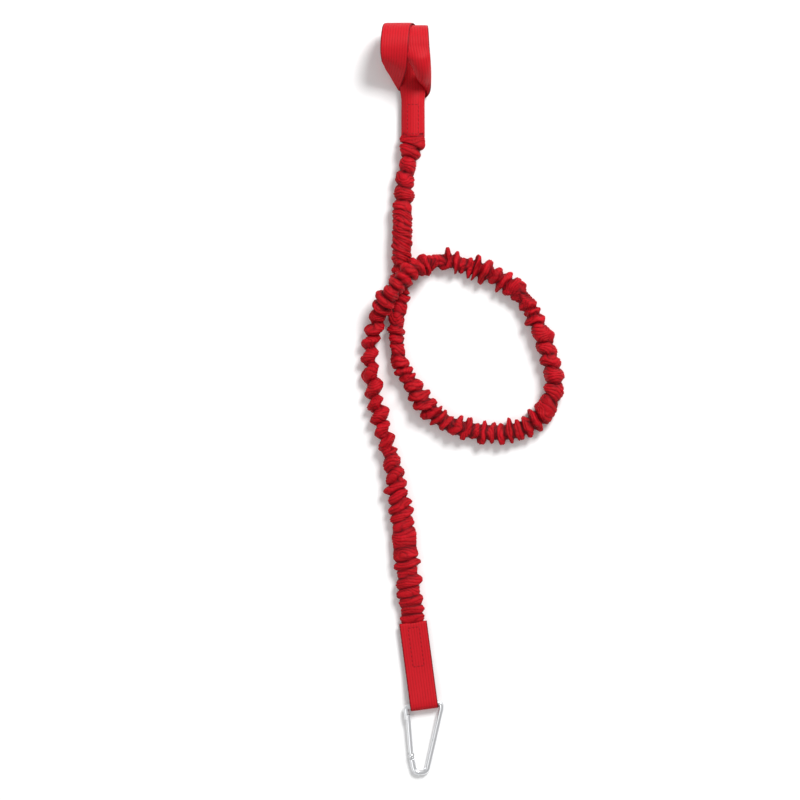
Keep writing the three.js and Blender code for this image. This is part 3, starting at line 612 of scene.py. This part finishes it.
right_turn = [
    station((16.2, -1.05 * INNER, 3.2), (17.1, -1.11 * FOLD, 4), -1),
    station((15.6, -1.08 * INNER, 8.4), (18.4, -0.99 * FOLD, 9), -1),
    station(around(INNER + 0.8, 180, 11), (18.6, -0.78 * FOLD, 16.5), -1),
    station(around(INNER + 0.3, 150, 5), around(1.22 * INNER, 146, 18.3), -1),
    station(around(INNER + 0.1, 122, 0.8), around(1.08 * INNER, 118, 17.9), -1),
]
RIGHT_ANGLES = (92, 62, 31, 0, -30, -60, -90)
right_wrap = [wrap(INNER, degrees, 7.4 - 0.4 * i) for i, degrees in enumerate(RIGHT_ANGLES)]
upper_ply = [
    level(4.8, -0.25 * FOLD, 1.4 + RAISE),
    level(5, -0.48 * FOLD, OVER_BIGHT + RAISE + 0.5, 0.985 * HALF, 1),
    level(5.3, -0.72 * FOLD, OVER_BIGHT + RAISE + 1, 0.95 * HALF, 1),
    level(5.6, -FOLD, OVER_BIGHT + RAISE + 1.6, 0.92 * HALF, 1),
] + [on_tab(TAB_RADIUS + PLIES_APART, y, 1) for y in TAB_ROWS[::-1]]
hitch = strap("hitch_webbing", lower_ply + left_wrap + bight + right_turn + right_wrap + upper_ply,
              lambda x, y, z: HITCH + [x, y, z])
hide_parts("hitch_loop_webbing")

# %% [markdown]
# ### The hook's tab
# One strip is folded round the hook's bar and sewn to itself, with the sleeve's end between. Its
# middle line is a list of places along the tab and their heights, and the fold is half a circle.

# %% Hook tab
UPPER_HEIGHT = SEWN_HEIGHT + PLIES_APART
FOLD_TOP = BAR_HEIGHT + FOLD_RADIUS
heights = [
    (TAB_TOP, UPPER_HEIGHT), ((TAB_TOP + SEWN_FOOT) / 2, UPPER_HEIGHT), (SEWN_FOOT, UPPER_HEIGHT),
    (0.5 * SEWN_FOOT, (UPPER_HEIGHT + FOLD_TOP) / 2), (0.12 * SEWN_FOOT, FOLD_TOP), (0, FOLD_TOP),
]
for degrees in (60, 30, 0, -30, -60):
    angle = math.radians(degrees)
    heights.append((-FOLD_RADIUS * math.cos(angle), BAR_HEIGHT + FOLD_RADIUS * math.sin(angle)))
heights += [
    (0, LAYER), (0.12 * SEWN_FOOT, LAYER), (0.5 * SEWN_FOOT, LAYER), (0.6 * SEWN_FOOT, LAYER),
    (0.8 * SEWN_FOOT, SEWN_HEIGHT), (SEWN_FOOT, SEWN_HEIGHT), ((TAB_TOP + SEWN_FOOT) / 2, SEWN_HEIGHT),
    (TAB_TOP, SEWN_HEIGHT),
]
hook_tab = strap("hook_tab", [level(0, y, z) for y, z in heights], on_hook_tab)
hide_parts("hook_tab_webbing")

# %% [markdown]
# ## Stitches
# Each tab is sewn with a box of lockstitches. The thread shows as short bars that are pulled
# into the webbing at both ends, so each stitch is a small bowed capsule on the surface.

# %% Stitches
STITCH, STITCH_STEP = 2.6, 3.1  # a stitch's length, and from one to the next
THREAD = 0.3  # the thread's radius
PULL = 0.3  # how deep a stitch's ends are pulled in
STITCH_RINGS, STITCH_SIDES = 7, 8


def capsule(surface, middle, way):
    """The points of one stitch, ring by ring."""
    points = []
    for i in range(STITCH_RINGS):
        t = i / 3 - 1
        reach = THREAD * math.sqrt(max(0.05, 1 - t ** 4))
        spot, out = surface(*(middle + way * t * STITCH / 2))
        ahead = surface(*(middle + way * (t * STITCH / 2 + 0.1)))[0] - spot
        side = np.cross(ahead, out)
        side = side / np.linalg.norm(side)
        spot = spot - out * PULL * t * t
        for k in range(STITCH_SIDES):
            turn = 2 * math.pi * k / STITCH_SIDES
            points.append((spot + reach * (math.cos(turn) * side + math.sin(turn) * out)) * MM)
    return points


def stitches(name, node, surface, corners):
    """Capsules along a closed run of corners. surface(x, y) gives a point and which way is out."""
    points, faces = [], []
    corners = [np.array(corner, dtype=float) for corner in corners]
    for start, end in zip(corners, corners[1:] + corners[:1]):
        run = np.linalg.norm(end - start)
        count = max(1, round(run / STITCH_STEP))
        for n in range(count):
            faces += tube_faces(STITCH_RINGS, STITCH_SIDES, first=len(points))
            points += capsule(surface, start + (end - start) * (n + 0.5) / count, (end - start) / run)
    made = new_object(name, points, faces)
    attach(made, "leash")
    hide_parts(node)
    print(name, "has", len(points) // (STITCH_RINGS * STITCH_SIDES), "stitches")
    return made


def hitch_face(radius, sign):
    """The upper or the under face of the hitch's tab, which is bowed."""
    def surface(across, y):
        angle = across / radius
        return on_hitch_tab(radius, across, y), sign * np.array([math.sin(angle), 0, math.cos(angle)])
    return surface


def hook_face(z, sign):
    return lambda across, y: (on_hook_tab(across, y, z), np.array([0, 0, sign]))


ON_FACE = LAYER + 0.12  # from the middle of a ply to the middle of a thread
hitch_above = hitch_face(TAB_RADIUS + PLIES_APART + ON_FACE, 1)
hitch_below = hitch_face(TAB_RADIUS - ON_FACE, -1)
hook_above = hook_face(UPPER_HEIGHT + ON_FACE, 1)
hook_below = hook_face(SEWN_HEIGHT - ON_FACE, -1)
hitch_box, hook_box = (
    [(-4, foot), (4, foot), (4, top), (-4, top)]
    for foot, top in ((TAB_END + 2, TAB_START - 3), (STITCH_FOOT, STITCH_TOP)))
thread_pieces = [
    stitches("hitch_stitches_above", "hitch_needle_thread", hitch_above, hitch_box),
    stitches("hitch_stitches_below", "hitch_bobbin_thread", hitch_below, hitch_box),
    stitches("hook_stitches_above", "hook_needle_thread", hook_above, hook_box),
    stitches("hook_stitches_below", "hook_bobbin_thread", hook_below, hook_box),
]

# %% [markdown]
# ## The snap hook
# The hook is drawn aluminium rod, bent to a narrow triangle and tumbled bright. A shorter rod,
# slotted over a flat tongue and pinned by a rivet, is the gate. Each is swept from its own
# middle line, and the slots are cut with a boolean and softened with a small bevel.

# %% Hook tools
ROD, GATE = 1.9, 1.8  # the radii of the two rods
KNUCKLE = np.array([-13.8, -35.1, 0.0])  # where the gate turns
GATE_TIP = np.array([-12.2, -5.6, 0.0])
NOSE_SIDE, SPINE_SIDE, HOOK_LENGTH = -13.1, 12.3, 48.0
NOSE_SPLIT = -5.3  # where the nose stops and the gate begins
drop = math.asin((BAR_HEIGHT - ROD - 0.05) / HOOK_LENGTH)  # the hook slopes down to the table
hook_place = (Matrix.Translation(Vector(BAR) * MM) @ Matrix.Rotation(BAR_TURN, 4, "Z")
              @ Matrix.Rotation(drop, 4, "X") @ Matrix.Scale(MM, 4))


def filleted(corners, radii, steps=10):
    """A line through the corners, each inner one rounded to its radius."""
    line = [np.array(corners[0], dtype=float)]
    for before, corner, after, radius in zip(corners, corners[1:], corners[2:], radii):
        before, corner, after = (np.array(p, dtype=float) for p in (before, corner, after))
        into = (corner - before) / np.linalg.norm(corner - before)
        out = (after - corner) / np.linalg.norm(after - corner)
        turn = math.acos(np.clip(into @ out, -1, 1))
        cut = radius * math.tan(turn / 2)
        start = corner - into * cut
        centre = start + radius * (out - into * (into @ out)) / math.sin(turn)
        for k in range(steps + 1):
            angle = turn * k / steps
            line.append(centre + (start - centre) * math.cos(angle) + into * radius * math.sin(angle))
    line.append(np.array(corners[-1], dtype=float))
    return np.array(line)


def rod(name, line, radius, sides=28, dome=0.35):
    """A round rod along a line in the hook's plane, its ends slightly domed."""
    line, _ = evenly(line, 0.7)
    way = np.gradient(line, axis=0)
    way /= np.linalg.norm(way, axis=1)[:, None]
    side = np.cross(way, [0, 0, 1])
    shoulders = line[0] + way[0] * dome * 0.6, line[-1] - way[-1] * dome * 0.6
    line = np.vstack([line[0], shoulders[0], line[1:-1], shoulders[1], line[-1]])
    side = np.vstack([side[0], side[0], side[1:-1], side[-1], side[-1]])
    scale = np.ones(len(line))
    scale[0] = scale[-1] = 1 - dome / radius
    turn = np.linspace(0, 2 * math.pi, sides, endpoint=False)
    grid = line[:, None, :] + (radius * scale)[:, None, None] * (
        np.cos(turn)[None, :, None] * side[:, None, :]
        + np.sin(turn)[None, :, None] * np.array([0, 0, 1]))
    return new_object(name, grid.reshape(-1, 3), tube_faces(len(line), sides))


def plate(outline, thickness):
    """A flat plate in the hook's own plane."""
    points = [(x, y, z) for z in (-thickness / 2, thickness / 2) for x, y in outline]
    return new_object("plate", points, tube_faces(2, len(outline)))


def box_body(centre, size, turn=0.0):
    """A box turned in the hook's own plane."""
    x, y, z = np.array(size) / 2
    cos, sin = math.cos(turn), math.sin(turn)
    corners = [(i * x, j * y, k * z) for k in (-1, 1) for j in (-1, 1) for i in (-1, 1)]
    points = [(centre[0] + a * cos - b * sin, centre[1] + a * sin + b * cos, centre[2] + c)
              for a, b, c in corners]
    faces = [(0, 2, 3, 1), (4, 5, 7, 6), (0, 1, 5, 4), (2, 6, 7, 3), (0, 4, 6, 2), (1, 3, 7, 5)]
    return new_object("cutter", points, faces)


def as_built(piece):
    """The piece's mesh with its modifiers applied."""
    bpy.context.view_layer.update()
    mesh = bpy.data.meshes.new_from_object(piece.evaluated_get(bpy.context.evaluated_depsgraph_get()))
    piece.modifiers.clear()
    piece.data = mesh
    return mesh


def combine(target, other, operation):
    """Joins or cuts, applies it, and takes the other body away."""
    step = target.modifiers.new("combine", "BOOLEAN")
    step.operation, step.solver, step.object = operation, "EXACT", other
    as_built(target)
    bpy.data.objects.remove(other)


def finish_metal(piece, body, node, edge=0.18):
    """Softens the sharp edges, puts the piece in its place and lets it ride on its body."""
    soften = piece.modifiers.new("soften", "BEVEL")
    soften.width, soften.segments, soften.limit_method = edge, 3, "ANGLE"
    soften.angle_limit = math.radians(42)
    mesh = as_built(piece)
    mesh.polygons.foreach_set("use_smooth", [True] * len(mesh.polygons))
    mesh.transform(hook_place)
    mesh.set_sharp_from_angle(angle=math.radians(38))
    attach(piece, body)
    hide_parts(node)
    print(piece.name, "has", len(mesh.polygons), "faces")


print("the hook slopes down by", round(math.degrees(drop), 1), "degrees")

# %% Hook frame
LEG_FOOT = np.array([-12.9, -HOOK_LENGTH, 0.0])
leg_up = (KNUCKLE - LEG_FOOT) / np.linalg.norm(KNUCKLE - LEG_FOOT)
rod_end = KNUCKLE - leg_up * (ROD + 0.7)
corners = [(NOSE_SIDE, -9.3, 0), (NOSE_SIDE, 0, 0), (SPINE_SIDE, 0, 0), (SPINE_SIDE - 0.2, -4.2, 0),
           (-4.3, -HOOK_LENGTH, 0), LEG_FOOT, rod_end]
hook_frame = rod("snap_hook_frame", filleted(corners, [2.2, 2.2, 3, 4.2, 4.2]), ROD)
nose_cut = box_body((NOSE_SIDE - 0.2 + 2.5, NOSE_SPLIT - 5, 0), (5, 10, 8))
combine(hook_frame, nose_cut, "DIFFERENCE")

# %% [markdown]
# ### The tongue and the gate
# The frame ends in a flat tongue with the rivet through it. Its rim is a cam, a little higher over
# the stretch that the gate's plunger is pushed along. The gate is slotted over the tongue and is
# cut half away at its tip, so that it closes against the inside of the nose.

# %% Tongue
TONGUE = 1.5  # its thickness
SHANK = 4.1  # the length of the block that joins the tongue to the rod
GATE_OPEN, CAM_TOP, CAM_END, CAM_RISE = 28, 60, 90, 0.6
gate_up = (GATE_TIP - KNUCKLE) / np.linalg.norm(GATE_TIP - KNUCKLE)
gate_angle = math.atan2(gate_up[1], gate_up[0])
cam = []
for degrees in range(0, 360, 6):
    rise = np.interp(degrees, [0, GATE_OPEN, CAM_TOP, CAM_END], [0, CAM_RISE, CAM_RISE, 0])
    angle = gate_angle - math.radians(degrees)
    cam.append(KNUCKLE[:2] + (ROD + rise) * np.array([math.cos(angle), math.sin(angle)]))
leg_turn = math.atan2(leg_up[1], leg_up[0]) - math.pi / 2
shank = box_body(KNUCKLE - leg_up * (SHANK / 2), (1.9 * ROD, SHANK, TONGUE), leg_turn)
combine(hook_frame, plate(cam[::-1], TONGUE), "UNION")
combine(hook_frame, shank, "UNION")
finish_metal(hook_frame, "hook", "hook_frame")

# %% Gate
gate = rod("snap_hook_gate", np.array([KNUCKLE - gate_up * GATE, GATE_TIP]), GATE, dome=0.5)
slot_depth = ROD + CAM_RISE + 0.4
slot_centre = KNUCKLE + gate_up * (slot_depth / 2 - 2)
slot = box_body(slot_centre, (8, slot_depth + 4, TONGUE + 0.6), gate_angle - math.pi / 2)
tip_cut = box_body((NOSE_SIDE + 0.1 - 5, -9.6 + 5, 0), (10, 10, 8))
combine(gate, slot, "DIFFERENCE")
combine(gate, tip_cut, "DIFFERENCE")
finish_metal(gate, "gate", "hook_gate")

# %% Rivet
RIVET_SIDES = 32
outline = [(0.0, 2.55), (0.6, 2.5), (1.1, 2.36), (1.38, 2.15), (1.45, 1.98), (1.38, 1.95), (0.85, 1.95)]
outline += [(r, -z) for r, z in reversed(outline)]
turns = [2 * math.pi * k / RIVET_SIDES for k in range(RIVET_SIDES)]
points = [(KNUCKLE[0] + r * math.cos(turn), KNUCKLE[1] + r * math.sin(turn), z)
          for r, z in outline for turn in turns]
faces = tube_faces(len(outline), RIVET_SIDES, caps=False, inside_out=True)
rivet = new_object("gate_rivet_domed", points, faces)
work = bmesh.new()
work.from_mesh(rivet.data)
bmesh.ops.remove_doubles(work, verts=work.verts, dist=1e-4)
work.to_mesh(rivet.data)
work.free()
finish_metal(rivet, "hook", "gate_rivet", edge=0.03)

# %% [markdown]
# ## Materials
# A material is a small graph of nodes round one Principled shader. One helper starts it, one adds
# a node, and one fills the shader's sockets. The size of each pattern is given in millimetres of
# real cloth or metal, and turned into a scale on the object's own place.

# %% Material tools
def new_material(name):
    """A material, its node tree and its shader."""
    material = bpy.data.materials.new(name)
    material.use_nodes = True
    tree = material.node_tree
    return material, tree, tree.nodes["Principled BSDF"]


def fill_sockets(tree, node, inputs):
    """Gives sockets, by name or number, a value or a link from another socket."""
    for key, value in inputs.items():
        if isinstance(value, bpy.types.NodeSocket):
            tree.links.new(value, node.inputs[key])
        else:
            node.inputs[key].default_value = value


def add_node(tree, kind, inputs=None, **settings):
    """Adds a node with its inputs and its settings."""
    node = tree.nodes.new(kind)
    for key, value in settings.items():
        setattr(node, key, value)
    fill_sockets(tree, node, inputs or {})
    return node


def set_finish(tree, shader, **inputs):
    """Fills the shader's own sockets. An underscore in a name stands for a space."""
    fill_sockets(tree, shader, {key.replace("_", " "): value for key, value in inputs.items()})


def scale_of(millimetres):
    """The scale of a pattern whose grains are this far apart, on a place in metres."""
    return 1 / (millimetres * MM)


print("a 1 mm grain has a scale of", scale_of(1))

# %% [markdown]
# ### The sleeve's cloth
# The sleeve is thin plain-woven nylon, dyed in the piece. Its yarns are far too fine to see. What
# shows is the fold: a crest catches the light, and cloth deep in a gather is dark, because light
# reaches it only after many bounces off red. Every layer in a gather could be modelled, but that
# shade is painted into the colour instead, from the depth kept when the folds were made: it
# darkens the valleys and the creases.

# %% Sleeve cloth
DYE_PATCH = 8.0  # millimetres across a patch where the dye took a little differently
CRINKLE = 1.4  # millimetres between the soft crinkles of thin cloth
CRUMPLE = 3.0  # millimetres between the sharp creases


def gathered_nylon():
    """Thin dyed nylon, gathered: nearly matt, with painted shade in the valleys and creases."""
    material, tree, shader = new_material("gathered_nylon_sleeve_cloth")
    place = add_node(tree, "ShaderNodeTexCoord").outputs["Object"]
    patch = add_node(tree, "ShaderNodeTexNoise",
                     {"Vector": place, "Scale": scale_of(DYE_PATCH), "Detail": 4.0})
    share = add_node(tree, "ShaderNodeMapRange", {0: patch.outputs["Fac"], 1: 0.3, 2: 0.7})
    dye = add_node(tree, "ShaderNodeMix", {"Factor": share.outputs[0], "A": linear("A30913"),
                                           "B": linear("BC0D1D")}, data_type="RGBA")
    # Painted shade: deep in the valleys and creases the colour goes to a dark red.
    depth = add_node(tree, "ShaderNodeAttribute", attribute_name="painted_fold_shade")
    shade = add_node(tree, "ShaderNodeMix", {"Factor": depth.outputs["Fac"], "A": linear("48030A"),
                                             "B": dye.outputs["Result"]}, data_type="RGBA")
    crinkle = add_node(tree, "ShaderNodeTexNoise",
                       {"Vector": place, "Scale": scale_of(CRINKLE), "Detail": 4.0, "Roughness": 0.6})
    crumple = add_node(tree, "ShaderNodeTexVoronoi", {"Vector": place, "Scale": scale_of(CRUMPLE)},
                       feature="DISTANCE_TO_EDGE")
    height = add_node(tree, "ShaderNodeMath", operation="ADD",
                      inputs={0: crumple.outputs["Distance"], 1: crinkle.outputs["Fac"]})
    bump = add_node(tree, "ShaderNodeBump",
                    {"Height": height.outputs[0], "Strength": 0.7, "Distance": 0.6 * MM})
    set_finish(tree, shader, Base_Color=shade.outputs["Result"], Normal=bump.outputs["Normal"],
               Roughness=0.6, IOR=1.53, Specular_IOR_Level=0.1)
    return material


sleeve_cloth = gathered_nylon()
# The pressed ends carry no painted shade map, so they take the dark painted shade colour all over.
for piece in (sleeve, hitch_end, hook_end):
    piece.data.materials.append(sleeve_cloth)
print("sleeve cloth on", sleeve.name, hitch_end.name, hook_end.name)

# %% [markdown]
# ### The webbing's cloth
# Webbing comes off a narrow loom, woven from thick nylon yarns. It has ribs along it and
# staggered picks across it, and its two selvedges round off. Shade is painted into its colour:
# darker between the ribs and darkest along both edges. A picture of a weave could be laid on it,
# but sine waves on the strap's own map in millimetres follow every bend and stay sharp from near by.

# %% Flat webbing
RIB = 1.9  # millimetres between the lengthwise ribs, coarser than the real 1.3 so that they show
PICK = 0.9  # millimetres between the crosswise yarns
EDGE_SHADE_FROM = 8.9  # millimetres from the middle to where the painted edge shade begins
YARN_PATCH = 4.0  # millimetres across a patch of yarn that is a little lighter or darker


def woven_webbing():
    """Flat woven nylon: ribbed, with a soft shine, and painted shade between the ribs and along the
    edges.
    """
    material, tree, shader = new_material("flat_woven_nylon_webbing")
    weave = add_node(tree, "ShaderNodeUVMap", uv_map="weave")
    axes = add_node(tree, "ShaderNodeSeparateXYZ", {0: weave.outputs["UV"]})

    # Half a wave is one lengthwise rib. Every second rib has its crosswise picks half a pick on.
    sums = {"across": axes.outputs["X"], "along": axes.outputs["Y"]}
    for name, operation, *terms in (
            ("wave", "MULTIPLY", "across", math.pi / RIB),
            ("wave", "SINE", "wave"),
            ("ribs", "ABSOLUTE", "wave"),
            ("rib", "MULTIPLY", "across", 1 / RIB),
            ("rib", "FLOOR", "rib"),
            ("pick", "MULTIPLY", "along", 2 * math.pi / PICK),
            ("pick", "MULTIPLY_ADD", "rib", math.pi, "pick"),
            ("pick", "SINE", "pick"),
            ("height", "MULTIPLY_ADD", "pick", 0.22, "ribs"),
            ("from_middle", "ABSOLUTE", "across")):
        inputs = {i: sums.get(term, term) for i, term in enumerate(terms)}
        sums[name] = add_node(tree, "ShaderNodeMath", inputs, operation=operation).outputs[0]

    # Patches of yarn make it uneven. Painted shade makes it darker between the ribs and darkest along
    # both edges.
    place = add_node(tree, "ShaderNodeTexCoord").outputs["Object"]
    patch = add_node(tree, "ShaderNodeTexNoise",
                     {"Vector": place, "Scale": scale_of(YARN_PATCH), "Detail": 3.0})
    tone = add_node(tree, "ShaderNodeMath", {0: patch.outputs["Fac"], 1: 0.8, 2: sums["height"]},
                    operation="MULTIPLY_ADD")
    share = add_node(tree, "ShaderNodeMapRange", {0: tone.outputs[0], 1: 0.25, 2: 1.0})
    cloth = add_node(tree, "ShaderNodeMix", {"Factor": share.outputs[0], "A": linear("9A0912"),
                                             "B": linear("BA0E1C")}, data_type="RGBA")
    # Painted shade along both edges, where the strap rounds off.
    edge = add_node(tree, "ShaderNodeMapRange", {0: sums["from_middle"], 1: EDGE_SHADE_FROM, 2: WIDTH / 2})
    painted_edge_shade = add_node(tree, "ShaderNodeMix", {"Factor": edge.outputs[0], "A": cloth.outputs["Result"],
                                             "B": linear("5E0610")}, data_type="RGBA")
    bump = add_node(tree, "ShaderNodeBump",
                    {"Height": sums["height"], "Strength": 0.4, "Distance": 0.2 * MM})
    set_finish(tree, shader, Base_Color=painted_edge_shade.outputs["Result"], Normal=bump.outputs["Normal"],
               Roughness=0.58, IOR=1.53, Specular_IOR_Level=0.14)
    return material


webbing_cloth = woven_webbing()
for piece in (hitch, hook_tab):
    piece.data.materials.append(webbing_cloth)
print("webbing on", hitch.name, hook_tab.name)

# %% [markdown]
# ### Thread, rubber and metal
# The sewing thread is bonded nylon: its filaments are glued together, so it is smoother than the
# webbing and a shade darker. The core is natural latex, matt and cream. The hook is aluminium that
# was tumbled with small stones, which leaves it bright with a soft grain, and the spring and its
# plunger are drawn steel, a little greyer. All four differ only in colour, gloss and grain, so one
# function makes them.

# %% Other materials
def fine_grained(name, low, high, grain, roughness, relief, **finish):
    """A material with a fine grain: two hex colours, and the grain and its relief in millimetres."""
    material, tree, shader = new_material(name)
    place = add_node(tree, "ShaderNodeTexCoord").outputs["Object"]
    noise = add_node(tree, "ShaderNodeTexNoise",
                     {"Vector": place, "Scale": scale_of(grain), "Detail": 3.0})
    share = add_node(tree, "ShaderNodeMapRange", {0: noise.outputs["Fac"], 1: 0.3, 2: 0.7})
    colour = add_node(tree, "ShaderNodeMix", {"Factor": share.outputs[0], "A": linear(low),
                                              "B": linear(high)}, data_type="RGBA")
    bump = add_node(tree, "ShaderNodeBump", {"Height": noise.outputs["Fac"], "Strength": 0.2,
                                             "Distance": relief * MM})
    set_finish(tree, shader, Base_Color=colour.outputs["Result"], Normal=bump.outputs["Normal"],
               Roughness=roughness, **finish)
    return material


# The filaments of the thread are 0.05 mm. A grain of 0.4 mm stands for its twist.
thread = fine_grained("bonded_nylon_thread", "980E1A", "A4101C", 0.4, 0.5, 0.1,
                      IOR=1.53, Specular_IOR_Level=0.2)
latex = fine_grained("natural_latex_rubber", "CFC4A6", "E0D7BF", 1.1, 0.7, 0.05, IOR=1.52)
# Tumbling leaves dents of about 0.1 mm, too fine to show: 0.7 mm gives the same soft sparkle.
aluminium = fine_grained("tumbled_aluminium", "EBECEE", "EFF0F2", 0.7, 0.28, 0.03, Metallic=1.0)
steel = fine_grained("drawn_spring_steel", "C0C3C7", "C8CBCF", 0.7, 0.32, 0.03, Metallic=1.0)

spring_pieces = [frame["nodes"]["gate_plunger"], frame["nodes"]["gate_spring"]]
wearers = ((thread, thread_pieces), (latex, [core]), (aluminium, [hook_frame, gate, rivet]),
           (steel, spring_pieces))
for material, pieces in wearers:
    for piece in pieces:
        piece.data.materials.clear()
        piece.data.materials.append(material)
    print(material.name, "on", len(pieces), "pieces")

# %% [markdown]
# ## Table and light
# The leash lies on a plain white laminate top, nearly matt. A large soft light stands high on the
# right and a weak one fills in from the left. An even white room keeps the shadows short and pale.

# %% Table
REACH = 3.0
corners = [(x * REACH, y * REACH, 0) for x, y in ((-1, -1), (1, -1), (1, 1), (-1, 1))]
table = new_object("table", corners, [(0, 1, 2, 3)], smooth=False)
laminate, laminate_tree, laminate_shader = new_material("white_laminate_table")
set_finish(laminate_tree, laminate_shader, Base_Color=linear("F8F8F8"), Roughness=0.8, IOR=1.5)
table.data.materials.append(laminate)
print("table", 2 * REACH, "m wide")

# %% Lights
def soft_light(name, place, size, power):
    """A round lamp that points at the middle of the table."""
    data = bpy.data.lights.new(name, "AREA")
    data.shape = "DISK"
    data.size = size
    data.energy = power
    light = bpy.data.objects.new(name, data)
    light.location = place
    light.rotation_euler = (-Vector(place)).to_track_quat("-Z", "Y").to_euler()
    bpy.context.scene.collection.objects.link(light)


soft_light("key", (1.0, 1.6, 1.9), 1.1, 72)
soft_light("fill", (-1.2, -0.8, 2.0), 1.6, 8)
world = bpy.data.worlds.new("studio")
world.use_nodes = True
background = world.node_tree.nodes["Background"]
background.inputs["Color"].default_value = linear("FFFFFF")
background.inputs["Strength"].default_value = 0.5
bpy.context.scene.world = world
bpy.context.scene.view_settings.view_transform = "Standard"
print("lights:", ", ".join(sorted(light.name for light in bpy.data.lights)))
